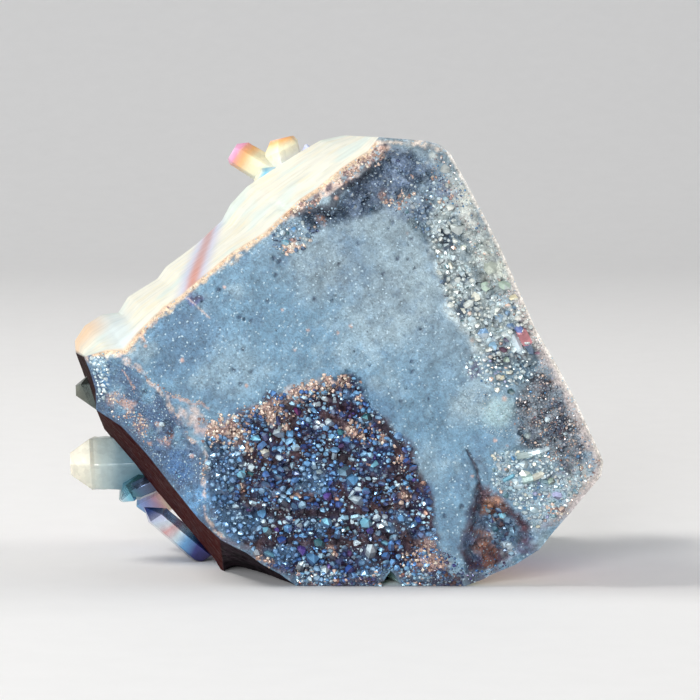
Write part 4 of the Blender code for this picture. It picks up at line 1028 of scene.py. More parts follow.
POCKET = ((12.7, 6.8), (14.4, 6.4), (15.5, 4.6), (15.2, 2.8), (13.9, 2.8), (13.0, 4.6))
LEFT_FACET = ((-20.6, 18.8), (-18.2, 19.6), (-15.6, 17.0), (-13.6, 14.6), (-11.8, 11.6), (-11.2, 8.4),
              (-10.6, 5.6), (-14.2, 8.8), (-18.4, 13.8), (-20.4, 15.2))
CRUST_FOOT = ((10.9, 19.6), (12.4, 20.2), (15.6, 19.8), (17.2, 19.2), (17.0, 17.6), (15.0, 17.0),
              (13.0, 17.2), (11.2, 18.0))
UNDER_CRUST = ((13.0, 17.2), (15.4, 17.4), (15.2, 12.6), (13.0, 13.0), (11.2, 14.2), (10.4, 16.6))
BOTTOM_BAND = ((5.4, 2.2), (7.4, 3.6), (9.6, 3.0), (11.0, 1.6), (14.8, 2.6), (14.4, 1.6), (10.9, 0.7),
               (6.8, 0.7))

# Larger crystals of the druse patch: (x, z, radius, colour).
LARGE_CRYSTALS = (
    (-4.9, 13.0, 0.55, ICE), (-3.85, 12.9, 0.43, SKY), (-6.84, 12.5, 0.50, CYAN), (-6.1, 11.3, 0.48, IVORY),
    (-5.3, 11.6, 0.38, SKY), (-8.1, 10.7, 0.41, SKY), (-8.1, 9.5, 0.46, CYAN), (-7.3, 10.1, 0.38, ICE),
    (1.4, 8.95, 0.66, SKY), (0.75, 9.7, 0.60, FROST_BLUE), (1.75, 7.3, 0.72, ICE), (2.6, 8.1, 0.41, SKY),
    (2.6, 5.3, 0.62, CYAN), (3.5, 5.75, 0.50, ICE), (3.0, 2.9, 0.74, ICE), (-1.5, 3.6, 0.55, TEAL),
    (-2.0, 2.2, 0.62, SKY), (-0.8, 5.4, 0.48, CYAN), (0.1, 4.3, 0.43, SKY), (4.2, 3.6, 0.46, CYAN),
    (5.6, 5.7, 0.41, SKY), (7.0, 5.7, 0.36, ROYAL), (-5.8, 4.6, 0.46, CYAN), (-4.1, 4.9, 0.41, SKY),
    (-6.3, 6.1, 0.43, SKY), (-5.8, 2.7, 0.50, CYAN), (-3.1, 1.6, 0.50, FROST_PALE), (-0.9, 1.3, 0.41, ICE),
    (-2.9, 3.0, 0.48, VIOLET), (-4.6, 3.9, 0.43, ROYAL), (0.9, 12.4, 0.43, SKY), (3.4, 10.4, 0.41, CYAN),
    (-0.6, 13.9, 0.48, ICE), (4.9, 8.3, 0.38, SKY), (-3.3, 8.2, 0.50, FROST_BLUE),
    (-1.4, 9.6, 0.43, FROST_PALE), (-9.0, 8.2, 0.43, FROST_BLUE), (-4.4, 7.0, 0.48, FROST_BLUE),
    (6.3, 9.3, 0.36, SKY), (1.2, 1.4, 0.48, ROYAL),
)
# Single stones elsewhere on the face: (x, z, radius, colour).
SINGLE_CRYSTALS = (
    (-14.95, 13.75, 0.3, ICE), (-4.3, 29.3, 0.42, CYAN), (-4.5, 30.1, 0.34, ICE), (-3.6, 30.4, 0.3, SKY),
    (13.1, 20.9, 0.42, ICE), (17.3, 19.8, 0.34, rgb(176, 140, 156)), (14.6, 19.3, 0.36, SAGE),
    (14.9, 18.2, 0.4, IVORY), (14.2, 17.8, 0.3, PALE_YELLOW), (15.0, 16.6, 0.34, rgb(70, 100, 106)),
    (13.0, 6.3, 0.42, FROST_BLUE), (14.3, 5.9, 0.36, CYAN), (14.9, 3.4, 0.34, ICE),
    (13.7, 4.7, 0.4, FROST_BLUE), (16.1, 10.4, 0.5, ICE), (19.6, 13.0, 0.3, ICE), (17.0, 9.4, 0.42, ICE),
    (18.4, 9.0, 0.34, SAGE), (15.4, 9.0, 0.34, ICE), (19.3, 6.6, 0.3, PALE_PEACH), (15.5, 11.4, 0.3, IVORY),
    (8.2, 33.2, 0.3, rgb(150, 178, 200)), (9.4, 33.0, 0.28, rgb(172, 202, 212)),
)
# Flat pale plates of the right side: (x, z, radius, colour).
PLATES = (
    (10.4, 30.5, 0.7, rgb(176, 184, 180)), (13.2, 27.2, 0.9, rgb(184, 192, 180)), (14.4, 25.7, 0.6, SAGE),
    (15.2, 24.6, 0.42, PALE_YELLOW), (10.9, 28.9, 0.42, IVORY), (11.9, 24.7, 0.5, IVORY),
    (10.8, 23.5, 0.42, IVORY), (11.6, 22.7, 0.46, ICE), (12.8, 25.6, 0.46, SAGE),
    (14.0, 22.9, 0.46, rgb(150, 178, 200)), (15.0, 22.2, 0.44, rgb(120, 150, 184)),
    (12.6, 21.6, 0.5, rgb(120, 156, 190)), (14.6, 21.0, 0.4, rgb(92, 84, 110)),
    (14.3, 20.2, 0.42, rgb(84, 60, 76)), (13.4, 20.5, 0.42, rgb(150, 190, 216)), (14.0, 17.8, 0.36, IVORY),
    (13.8, 16.8, 0.4, IVORY), (18.1, 14.2, 0.36, ICE), (16.2, 9.6, 0.6, rgb(226, 236, 226)),
    (17.6, 9.5, 0.4, ICE), (15.7, 10.2, 0.4, ICE), (9.3, 35.6, 0.5, rgb(170, 176, 174)),
    (9.6, 34.2, 0.34, rgb(168, 176, 172)), (16.4, 12.8, 0.5, rgb(170, 186, 186)),
    (18.9, 7.8, 0.5, LAVENDER), (17.0, 6.6, 0.5, FROST_PALE),
)
# Long flat crystals: (start, end, radius, colour).
LATH_CRYSTALS = (
    ((15.2, 21.3), (15.9, 19.8), 0.4, rgb(226, 244, 252)),
    ((15.9, 21.6), (16.6, 20.3), 0.52, rgb(232, 156, 162)),
    ((15.6, 22.0), (16.3, 21.1), 0.42, rgb(138, 160, 226)),
    ((16.4, 20.5), (16.9, 19.7), 0.36, rgb(150, 176, 206)),
    ((15.6, 11.2), (17.0, 11.4), 0.36, rgb(206, 228, 226)), ((16.6, 11.4), (17.8, 11.7), 0.34, ICE),
    ((17.5, 11.6), (18.4, 11.9), 0.28, ICE), ((16.1, 9.2), (17.2, 9.5), 0.42, rgb(188, 214, 208)),
    ((16.9, 9.4), (17.8, 9.8), 0.34, IVORY), ((15.4, 8.6), (16.2, 8.7), 0.32, ICE),
    ((14.4, 9.1), (15.3, 9.6), 0.22, CYAN), ((12.8, 22.7), (13.3, 22.2), 0.24, ICE),
    ((9.7, 27.5), (10.0, 26.9), 0.22, IVORY),
)


def pick(dice, tints):
    """A colour drawn from a weighted list."""
    draw = dice.uniform(0.0, sum(weight for _, weight in tints))
    for colour, weight in tints:
        draw -= weight
        if draw <= 0.0:
            return colour
    return tints[-1][0]


MOSTLY_SMALL = 0.27            # the lower, the more of the crystals are near their smallest size
EDGE_GAP = (0.08, 0.7)         # how far crystals keep from the edge: millimetres, and share of the radius
GRAIN_GAP = 0.12               # how far grains keep from the edge
GRAIN_LIFT = 0.15              # share of its radius that a grain is lifted out of the face


def sow(dice, outline, tries, radii, gap, taken=None):
    """Random places in an outline as rows (x, z, radius), large ones first, with little overlap."""
    sides = [(min(values), max(values)) for values in zip(*outline)]
    batch = np.array([[*(dice.uniform(*side) for side in sides), 0.0] for _ in range(tries)])
    batch = batch[inside_distance(batch[:, :2], outline) > 0.0]
    batch[:, 2] = radii[1] - (radii[1] - radii[0]) * np.linspace(0.0, 1.0, len(batch)) ** MOSTLY_SMALL
    batch = batch[inside_distance(batch[:, :2], RIM_LINE) > EDGE_GAP[0] + EDGE_GAP[1] * batch[:, 2]]
    kept = np.zeros((0, 3)) if taken is None else np.array(taken, float).reshape(-1, 3)
    first = len(kept)
    for row in batch:
        if np.all(np.hypot(kept[:, 0] - row[0], kept[:, 1] - row[1]) > gap * (kept[:, 2] + row[2])):
            kept = np.vstack((kept, row))
    return kept[first:]


def along_path(dice, path, half_width, count, radii):
    """Random places beside a path as rows (x, z, radius)."""
    line = refine(path, 0.2)
    rows = []
    for _ in range(count):
        x, z = dice.choice(line)
        rows.append((x + dice.gauss(0.0, half_width), z + dice.gauss(0.0, half_width), dice.uniform(*radii)))
    rows = np.array(rows)
    clumped = fractal(rows[:, :2], 1.3, 197) > -0.12
    return rows[(inside_distance(rows[:, :2], RIM_LINE) > GRAIN_GAP) & clumped]


def axes_of(direction):
    """The direction at length one, and two directions square to it."""
    direction = Vector(direction).normalized()
    side = direction.cross(Vector((0.3, 0.2, 0.9))).normalized()
    return direction, side, direction.cross(side).normalized()


ROOT_TO_TIP_SHADE = (0.66, 1.2)      # painted shade: how bright a crystal is painted at its root and at its tip
LIT_FACETS = (0.1, 0.6)        # painted light: how far a facet faces the sky when it begins to be painted bright, and when it is fully so


def facet_tints(points, faces, bright, dark, dice):
    """Colours of the facets, with painted light and shade: bright where they face the sky, dark where they
    face away and at the root.
    """
    tints, last = [], len(points) - 1
    for face in faces:
        a, b, c = (Vector(points[i]) for i in face[:3])
        normal = (b - a).cross(c - a)
        normal = np.array(normal.normalized() if normal.length else (0.0, 0.0, 1.0))
        lit = smooth(float(normal @ TOWARDS_SKY) + dice.uniform(-0.3, 0.3), *LIT_FACETS)
        tint = dark * (1.0 - lit) + bright * lit * dice.uniform(0.8, 1.15)
        tints.append([tint * mix_value(*ROOT_TO_TIP_SHADE, i / last) for i in face])
    return tints


PYRAMID = (0.7, 1.3)           # height of a crystal's pyramid tip in radii
NARROWING = 0.94               # how wide a crystal is below its pyramid, against its foot
UNEVEN = 0.12                  # how much further every other edge stands out
OFF_AXIS = 0.25                # how far off its axis a tip may be


def add_crystal(heap, place, direction, radius, length, dice, bright, dark, squeeze=1.0):
    """A small six-sided crystal with a pyramid tip, rooted a little below its place."""
    direction, side, up = axes_of(direction)
    spin = dice.uniform(0.0, math.tau)
    tip_height = min(0.75 * length, dice.uniform(*PYRAMID) * radius)
    off = [dice.uniform(-OFF_AXIS, OFF_AXIS) * radius for _ in range(2)]
    points = []
    for scale, height in ((1.0, -0.5 * radius), (NARROWING, length - tip_height)):
        for corner in range(6):
            angle = spin + math.tau * corner / 6.0
            reach = scale * radius * (1.0 + UNEVEN * (corner % 2))
            offset = side * (reach * math.cos(angle)) + up * (reach * math.sin(angle) * squeeze)
            points.append(Vector(place) + offset + direction * height)
    points.append(Vector(place) + side * off[0] + up * off[1] + direction * length)
    faces = []
    for corner in range(6):
        following = (corner + 1) % 6
        faces.append((corner, following, 6 + following, 6 + corner))
        faces.append((6 + corner, 6 + following, 12))
    faces.append(tuple(range(5, -1, -1)))
    heap.add(points, faces, facet_tints(points, faces, bright, dark, dice))


ICOSA_POINTS = np.array([(0, 1, 1.618), (0, -1, 1.618), (0, 1, -1.618), (0, -1, -1.618), (1, 1.618, 0),
                         (-1, 1.618, 0), (1, -1.618, 0), (-1, -1.618, 0), (1.618, 0, 1), (1.618, 0, -1),
                         (-1.618, 0, 1), (-1.618, 0, -1)]) / 1.902
ICOSA_FACES = ((0, 1, 8), (0, 10, 1), (0, 4, 5), (0, 8, 4), (0, 5, 10), (1, 7, 6), (1, 6, 8), (1, 10, 7),
               (2, 5, 4), (2, 4, 9), (2, 9, 3), (2, 3, 11), (2, 11, 5), (3, 6, 7), (3, 9, 6), (3, 7, 11),
               (4, 8, 9), (5, 11, 10), (6, 9, 8), (7, 10, 11))


def add_grain(heap, place, radius, dice, tint):
    """A small lumpy grain."""
    shape = np.array([dice.uniform(0.55, 1.2) for _ in range(12)])[:, None] * ICOSA_POINTS * radius
    shape *= (dice.uniform(0.7, 1.4), dice.uniform(0.45, 0.8), dice.uniform(0.7, 1.3))
    tints = [tint * dice.uniform(0.7, 1.12) for _ in ICOSA_FACES]
    heap.add(shape + np.array(place), ICOSA_FACES, tints)


def tilted(dice, spread):
    """A direction out of the face, leaning at random."""
    return FACE_OUT + np.array((dice.gauss(0.0, spread), 0.0, dice.gauss(0.0, spread)))


def spots_of(rows):
    """The places (x, z) of rows that may hold more."""
    return np.array([tuple(row[:2]) for row in rows]).reshape(-1, 2)


def rooted(rows, lift=0.0):
    """Places in space of rows (x, z, radius) on the broken face."""
    points = spots_of(rows)
    return on_face(points, face_depth(points) + fine_relief(points, ()) - lift)


def add_chip(heap, place, direction, radius, length, dice, bright, dark):
    """A tiny four-sided pyramid, for crystals too small to show more of their form."""
    direction, side, up = axes_of(direction)
    spin = dice.uniform(0.0, math.tau)
    place = Vector(place) - direction * (0.4 * radius)
    points = []
    for corner in range(4):
        angle = spin + 0.25 * math.tau * corner + dice.uniform(-0.3, 0.3)
        points.append(place + (side * math.cos(angle) + up * math.sin(angle)) * radius)
    points.append(place + direction * (length + 0.4 * radius) + side * dice.uniform(-0.3, 0.3) * radius)
    faces = [(corner, (corner + 1) % 4, 4) for corner in range(4)] + [(3, 2, 1, 0)]
    heap.add(points, faces, facet_tints(points, faces, bright, dark, dice))


PLACE_SPREAD = 0.16            # how far neighbours differ in their place on the colour scale
LYING = 0.25                   # share of the crystals that lie nearly flat
CHIP_RADIUS = 0.11             # smaller crystals are plain chips
STREAKS = (0.55, 1.25)         # the dark streaks between the crystals run along X


def crystals_on(heap, rows, dice, scale, shades, odd=(), spread=0.6, steepness=(0.8, 1.6), dimmed=0.75,
                lift=0.0):
    """Crystals on the face. Rows are (x, z, radius), with a colour after them where it is given.

    Neighbours share much of their place on the colour scale, and dark streaks run between bright groups. odd
    lists rarer colours, spread is how far the crystals lean, dimmed is how dark the streaks are, and lift
    moves the places up the scale.
    """
    spots = spots_of(rows)
    clumps = 0.53 + 0.5 * fractal(spots, 1.5, 191, 4)
    places = clumps + np.array([dice.gauss(0.0, PLACE_SPREAD) for _ in rows]) + lift
    streaks = fractal(spots * STREAKS, 1.3, 199) + 1.5 * np.maximum(lift, 0.0)
    gleam = 1.0 - dimmed * fade(streaks, -0.3, 0.12)
    for row, place, colour, share in zip(rows, rooted(rows), gradient(places, scale), gleam):
        radius, shade = row[2], pick(dice, shades)
        for other, chance in odd:
            colour = other if dice.uniform(0.0, 1.0) < chance else colour
        bright = row[3] if len(row) > 3 else colour * share + shade * (1.0 - share)
        # The painted shade of the facets that face away.
        shade = 0.7 * shade + 0.25 * bright
        length = radius * dice.uniform(*steepness)
        if radius < CHIP_RADIUS:
            add_chip(heap, place, tilted(dice, 1.3 * spread), radius, length, dice, bright, shade)
        elif dice.uniform(0.0, 1.0) < LYING:
            add_crystal(heap, place, tilted(dice, 2.2 * spread), 0.7 * radius, 1.4 * length, dice, bright,
                        shade)
        else:
            add_crystal(heap, place, tilted(dice, spread), radius, length, dice, bright, shade,
                        dice.uniform(0.55, 1.0))


def laths_on(heap, rows, dice, shades):
    """Long flat crystals lying on the face."""
    for start, end, radius, colour in rows:
        middle = rooted(((*start, 0.0), (*end, 0.0)), 0.3 * radius)
        run = Vector(middle[1] - middle[0])
        # The facets that face away get a painted shade, 0.72 of the colour.
        add_crystal(heap, middle[0], run, radius, run.length, dice, colour, 0.72 * colour, 0.85)


def grains_on(heap, rows, dice):
    """Peach grains half sunk in the face."""
    rows = np.array(rows).reshape(-1, 3)
    rows = rows[inside_distance(rows[:, :2], RIM_LINE) > GRAIN_GAP]
    for row, place in zip(rows, rooted(rows)):
        add_grain(heap, place + FACE_OUT * GRAIN_LIFT * row[2], row[2], dice, pick(dice, PEACH_TINTS))


DRUSE_COARSE = (6000, (0.11, 0.48), 0.66)          # tries, radii and gap of the druse's larger crystals
DRUSE_FINE = (15000, (0.045, 0.12), 0.85)          # and of its small ones
GROUP_LIFT = 0.42              # how far bright groups move up the colour scale
SMALL_CRYSTAL = 0.17           # radius up to which crystals can be missing
SMALL_GAPS = 0.75              # share of the small crystals missing where the dark ground shows


def druse_patch(dice):
    """The crystals of the big druse patch."""
    patch = Heap()
    crystals_on(patch, LARGE_CRYSTALS, dice, DRUSE_SCALE, DRUSE_SHADES, spread=0.45, steepness=(1.0, 1.5))
    taken = [row[:3] for row in LARGE_CRYSTALS]
    rows = sow(dice, DRUSE_COVER, *DRUSE_COARSE, taken)
    rows = np.vstack((rows, sow(dice, DRUSE_COVER, *DRUSE_FINE, [*taken, *rows])))
    ragged = inside_distance(wander(rows[:, :2]), DRUSE_COVER) + 0.6 * fractal(rows[:, :2], 1.1, 171)
    rows = rows[ragged > 0.0]
    spots = rows[:, :2]
    bare = 0.7 * np.maximum(band_share(spots), bed_share(spots))
    gaps = SMALL_GAPS * clouds(spots, 1.4, 257, 0.0, 0.3) * (rows[:, 2] < SMALL_CRYSTAL)
    rows = rows[np.maximum(bare, gaps) < np.array([dice.uniform(0.0, 1.0) for _ in rows])]
    steel = steel_share(rows[:, :2]) > 0.5
    lift = GROUP_LIFT * group_share(rows[:, :2]) + 0.02
    crystals_on(patch, rows[~steel], dice, DRUSE_SCALE, DRUSE_SHADES, DRUSE_ODD, dimmed=0.66,
                lift=lift[~steel])
    crystals_on(patch, rows[steel], dice, STEEL_SCALE, STEEL_SHADES, dimmed=0.1, steepness=(0.5, 1.2),
                lift=lift[steel] + 0.08)
    return patch


FOOT_COUNT = 620               # crystals along the foot of the broken face
FOOT_REACH = (-3.4, 10.8)      # where they grow, from left to right
FOOT_HEIGHT = (0.05, 1.3)      # the lowest, and how much higher the others reach
FOOT_RADII = (0.07, 0.24)
FOOT_NOTCH = (3.8, 5.5)        # none grow here

# Crystals sown in a zone: outline, tries, radii, gap, then what crystals_on calls scale, shades, odd, spread
# and dimmed.
CRYSTAL_FIELDS = (
    (CRUST_BELT, 2800, (0.12, 0.46), 0.72, CRUST_SCALE, CRUST_SHADES, CRUST_ODD, 0.6, 0.3),
    (CRUST_BELT, 4200, (0.045, 0.12), 1.0, CRUST_SCALE, CRUST_SHADES, CRUST_ODD, 0.6, 0.3),
    (RIGHT_FLATS, 1100, (0.05, 0.2), 1.2, CRUST_SCALE, CRUST_SHADES, CRUST_ODD, 0.4, 0.3),
    (CRUST_FOOT, 420, (0.1, 0.34), 0.8, LOW_SCALE, CRUST_SHADES, LOW_ODD, 0.6, 0.6),
    (CRUST_FOOT, 1600, (0.045, 0.1), 1.0, LOW_SCALE, CRUST_SHADES, LOW_ODD, 0.5, 0.5),
    (UNDER_CRUST, 2200, (0.035, 0.1), 1.4, LOW_SCALE, FROST_SHADES, ((ICE, 0.1),), 0.5, 0.1),
    (DARK_DRUSE, 500, (0.12, 0.24), 1.0, DARK_SCALE, DARK_SHADES, DARK_ODD, 0.6, 0.4),
    (DARK_DRUSE, 8000, (0.055, 0.14), 0.8, DARK_SCALE, DARK_SHADES, DARK_ODD, 0.6, 0.25),
    (LOWER_RIGHT, 1600, (0.12, 0.34), 0.7, LOW_SCALE, LOW_SHADES, LOW_ODD, 0.6, 0.3),
    (LOWER_RIGHT, 6000, (0.05, 0.12), 0.8, LOW_SCALE, LOW_SHADES, LOW_ODD, 0.6, 0.1),
    (POCKET, 420, (0.14, 0.5), 0.75, POCKET_SCALE, DRUSE_SHADES, (), 0.5, 0.3),
    (CAVITY, 1500, (0.04, 0.1), 1.3, POCKET_SCALE, DRUSE_SHADES, ((COPPER, 0.2),), 0.5, 0.5),
    (HOLLOW, 300, (0.12, 0.28), 1.1, HOLLOW_SCALE, CRUST_SHADES, (), 0.6, 0.5),
    (HOLLOW, 3600, (0.05, 0.12), 0.95, HOLLOW_SCALE, CRUST_SHADES, (), 0.6, 0.4),
    (UPPER_BELT, 1500, (0.06, 0.28), 0.85, HOLLOW_SCALE, CRUST_SHADES, DARK_ODD, 0.6, 0.6),
    (SMALL_CLUSTER, 900, (0.07, 0.3), 0.75, HOLLOW_SCALE, CRUST_SHADES, CRUST_ODD, 0.6, 0.3),
    (LEFT_GLITTER, 600, (0.07, 0.3), 0.75, LOW_SCALE, FROST_SHADES, (), 0.6, 0.4),
    (LEFT_FACET, 7000, (0.045, 0.13), 1.1, GLITTER_SCALE, FROST_SHADES, ((ICE, 0.1), (CYAN, 0.04)), 0.5, 0.2),
    (BOTTOM_BAND, 1200, (0.05, 0.24), 0.9, DRUSE_SCALE, DRUSE_SHADES, DRUSE_ODD, 0.5, 0.75),
    (BASE_EDGE, 1500, (0.05, 0.26), 0.8, POCKET_SCALE, DRUSE_SHADES, DRUSE_ODD, 0.5, 0.9),
    (RIGHT_RIM, 7000, (0.07, 0.22), 0.8, RIM_SCALE, RIM_SHADES, LOW_ODD, 0.5, 0.3),
)


def edge_crusts(dice):
    """The crusts of the right side, the hollow and the edges, and the glitter of the frosted face."""
    crust = Heap()
    crystals_on(crust, PLATES, dice, CRUST_SCALE, CRUST_SHADES, spread=0.16, steepness=(0.34, 0.5))
    crystals_on(crust, SINGLE_CRYSTALS, dice, CRUST_SCALE, CRUST_SHADES, spread=0.4, steepness=(0.9, 1.3))
    laths_on(crust, LATH_CRYSTALS, dice, CRUST_SHADES)
    taken = [row[:3] for row in (*SINGLE_CRYSTALS, *PLATES)]
    for outline, tries, radii, gap, scale, shades, odd, spread, dimmed in CRYSTAL_FIELDS:
        rows = sow(dice, outline, tries, radii, gap, taken)
        taken += [tuple(row) for row in rows]
        rows = rows[inside_distance(wander(rows[:, :2]), outline) > -0.3]
        crystals_on(crust, rows, dice, scale, shades, odd, spread, (0.6, 1.3), dimmed)

    foot = [(dice.uniform(*FOOT_REACH), FOOT_HEIGHT[0] + FOOT_HEIGHT[1] * dice.uniform(0.0, 1.0) ** 2,
             dice.uniform(*FOOT_RADII)) for _ in range(FOOT_COUNT)]
    foot = [row for row in foot if not FOOT_NOTCH[0] < row[0] < FOOT_NOTCH[1]]
    crystals_on(crust, foot, dice, POCKET_SCALE, DRUSE_SHADES, DARK_ODD, 0.5, (0.6, 1.2), 0.9)

    flecks = scattered(dice, FLAKE_COUNT, FLAKE_RADII, 0.4)
    spots = spots_of(flecks)
    share = plain_share(spots) * (0.3 + clouds(spots, 2.4, 181, 0.0, 0.4))
    flecks = [fleck for fleck, kept in zip(flecks, share) if kept > dice.uniform(0.0, 1.0)]
    crystals_on(crust, flecks, dice, FROST_SCALE, FROST_SHADES, spread=0.4, steepness=(0.4, 0.8), dimmed=0.3)
    return crust


BED_FILLING = 46               # grains of a bed one millimetre in radius
BED_REST = 4                   # and the few more that each bed gets
BED_GRAINS = (0.07, 0.24)      # their radii

# Peach grains along a path: path, half width, number, radii.
GRAIN_BELTS = (
    (PATCH_CREST[:3], 0.7, 260, (0.06, 0.2)), (PATCH_CREST[2:], 0.4, 260, (0.06, 0.19)),
    (TOP_CRUST, 0.4, 260, (0.06, 0.2)), (CREAM_EDGE[1:4], 0.18, 130, (0.05, 0.15)),
    (RIDGE_LINE, 0.14, 130, (0.04, 0.1)), (SIDE_LINE, 0.05, 40, (0.03, 0.07)),
    (FACET_LINE, 0.05, 26, (0.03, 0.07)), (((4.2, 33.2), (5.8, 33.0)), 0.35, 70, (0.08, 0.22)),
    (((7.6, 34.8), (9.6, 33.2)), 0.6, 130, (0.07, 0.2)),
    (((-4.2, 28.9), (-3.0, 29.1)), 0.26, 34, (0.1, 0.26)),
    (((-1.4, 31.2), (-1.0, 31.1)), 0.18, 12, (0.1, 0.24)), (((5.6, 2.6), (8.6, 2.0)), 0.5, 80, (0.06, 0.2)),
    (((-19.0, 16.0), (-17.2, 13.8)), 0.5, 90, (0.04, 0.12)),
    (((-16.9, 14.2), (-16.4, 12.8)), 0.3, 50, (0.04, 0.12)),
    (((-14.7, 12.6), (-14.4, 12.0)), 0.2, 24, (0.05, 0.12)),
    (((16.6, 15.6), (20.4, 12.4)), 0.9, 60, (0.05, 0.13)),
    (((17.0, 13.0), (21.6, 9.4)), 0.8, 70, (0.05, 0.15)),
    (((0.6, 13.8), (3.4, 12.8)), 0.6, 70, (0.06, 0.18)),
    (((-6.2, 14.8), (-4.2, 14.2)), 0.5, 70, (0.06, 0.2)),
    (((5.2, 11.0), (6.2, 8.2)), 0.3, 30, (0.06, 0.18)),
    (((-8.6, 12.4), (-7.4, 11.4)), 0.6, 50, (0.06, 0.17)),
    (((18.0, 6.8), (19.6, 6.2)), 0.3, 24, (0.08, 0.2)),
)


def peach_grains(dice):
    """Peach and cream grains of the crumbly edges."""
    grains = Heap()
    for path, half_width, count, radii in GRAIN_BELTS:
        grains_on(grains, along_path(dice, path, half_width, count, radii), dice)
    for x, z, radius in PEACH_BEDS:
        spread = 0.6 * radius
        rows = [(x + dice.gauss(0.0, spread), z + dice.gauss(0.0, spread), dice.uniform(*BED_GRAINS))
                for _ in range(int(BED_FILLING * radius ** 2) + BED_REST)]
        grains_on(grains, rows, dice)
    return grains


def druse_pieces(material, grain_material):
    """The druse patch, the crusts and the grains of the broken face."""
    dice, crust_dice = random.Random(SEED + 1), random.Random(SEED + 7)
    return (druse_patch(dice).piece("druse_patch", [material]),
            edge_crusts(crust_dice).piece("edge_crusts", [material]),
            peach_grains(dice).piece("peach_grains", [grain_material]))


# ---------------------------------------------------------------- quartz points
RING_STEP = 0.5                # spacing of the growth lines of a quartz point
CHAMFER = 0.05                 # share of a side taken by the worn edge
TIP_RINGS = 5                  # rings of a point's pyramid
SHARP_TIP = 0.985              # how far the last ring of a sharp tip goes
RING_INSET = (0.012, 0.02)     # how far a growth line cuts in: the least, and the part left to chance
SIDE_REACH = (0.88, 1.1)       # how unequal the six sides of a point are
TIP_OFFSET = 0.22              # how far off its axis a tip may be
FIRST_SIDE, FIRST_SHOULDER = 1, 7          # where the side points and the shoulder points begin in the list
FILM_STEEL = 0.25              # share of plain steel blue in the coating's colours


def small_points(dice):
    """Small points sown over the termination, drawn exactly as in the source."""
    ridge = (Vector(RIDGE_HIGH) + Vector(RIDGE_LOW)) * 0.5
    for _ in range(SMALL_POINTS):
        shoulder = Vector(dice.choice(RIM)[2])
        place = ridge.lerp(shoulder, dice.uniform(0.25, 0.85))
        outward = (place - ridge).normalized()
        lean = outward * dice.uniform(0.25, 0.9) + Vector((0.0, 1.0, 0.0))
        lean.z = abs(lean.z) if place.z < 5.0 else lean.z
        radius = dice.uniform(*SMALL_RADIUS)
        length = dice.uniform(*SMALL_LENGTH)
        root = place - lean.normalized() * 0.45 * length
        root.z = max(root.z, radius)
        yield (root, lean, length, radius, dice.uniform(0.0, 60.0), 1.0, 0.0)


def worn_ring(corners):
    """A six-sided ring with a narrow worn facet at each edge."""
    middle = sum(corners, Vector()) / 6.0
    ring = []
    for i, corner in enumerate(corners):
        following = corners[(i + 1) % 6]
        ring += [corner.lerp(middle, 0.35 * CHAMFER), corner.lerp(following, CHAMFER),
                 corner.lerp(following, 1.0 - CHAMFER)]
    return ring


def quartz_point(root, direction, length, radius, spin, flattening, blunting, dice):
    """Rings of a six-sided quartz point as (points, share of its length), and its closing point."""
    tip = Vector((*(dice.uniform(-TIP_OFFSET, TIP_OFFSET) * radius for _ in range(2)), length))
    cut_height = length - blunting * TIP_SLOPE * TAPER * radius
    roots, shoulders, tops = [], [], []
    for side in range(6):
        angle = math.tau * side / 6.0
        reach = radius * dice.uniform(*SIDE_REACH)
        corner = Vector((reach * math.cos(angle), reach * math.sin(angle) * flattening, 0.0))
        shoulder = corner * TAPER
        drop = TIP_SLOPE * (shoulder - Vector((tip.x, tip.y, 0.0))).length
        shoulder.z = max(0.25 * length, length - drop)
        roots.append(corner)
        shoulders.append(shoulder)
        share = 1.0
        if blunting:
            share = max(0.15, (cut_height - shoulder.z) / (length - shoulder.z))
        tops.append(shoulder.lerp(tip, share))
    steps = max(4, math.ceil(length / RING_STEP))
    rings = []
    for step in range(steps + 1):
        inset = 0.0
        if 0 < step < steps:
            draw = hashed(np.array([step]), np.array([int(length * 10)]))[0]
            inset = RING_INSET[0] + RING_INSET[1] * draw
        row = [low.lerp(high, step / steps) for low, high in zip(roots, shoulders)]
        rings.append([point - Vector((point.x, point.y, 0.0)) * inset for point in worn_ring(row)])
    for step in range(1, TIP_RINGS + 1):
        share = step / TIP_RINGS * (1.0 if blunting else SHARP_TIP)
        rings.append(worn_ring([low.lerp(high, share) for low, high in zip(shoulders, tops)]))
    close = sum(tops, Vector()) / 6.0 if blunting else tip
    turn = Vector(direction).to_track_quat("Z", "Y").to_matrix().to_4x4()
    place = Matrix.Translation(root) @ turn @ Matrix.Rotation(math.radians(spin), 4, "Z")
    return [[place @ point for point in ring] for ring in rings], place @ close


def points_piece(name, shapes, materials):
    """One mesh of several quartz points; shapes are (rings, closing point, paint)."""
    points, faces, tints = [], [], []
    for rings, close, paint in shapes:
        first, count = len(points), len(rings[0])
        numbers = [range(first + row * count, first + (row + 1) * count) for row in range(len(rings))]
        points += [tuple(point) for ring in rings for point in ring]
        points.append(tuple(close))
        for low, high in zip(numbers, numbers[1:]):
            faces += join_rings(low, high)
        last = numbers[-1]
        faces += [(last[i], last[(i + 1) % count], len(points) - 1) for i in range(count)]
        faces.append(tuple(range(first + count - 1, first - 1, -1)))
        shares = np.append(np.repeat(np.arange(len(rings)) / len(rings), count), 1.0)
        sides = np.append(np.tile((np.arange(count) + 1) // 3 % 6, len(rings)), 0)
        tints.append(paint(np.array(points[first:]), shares, sides))
    points = np.array(points)
    points[:, 2] = np.maximum(points[:, 2], POINT_LIFT)
    return make_mesh(name, points, faces, np.vstack(tints), materials, smooth_angle=14.0)


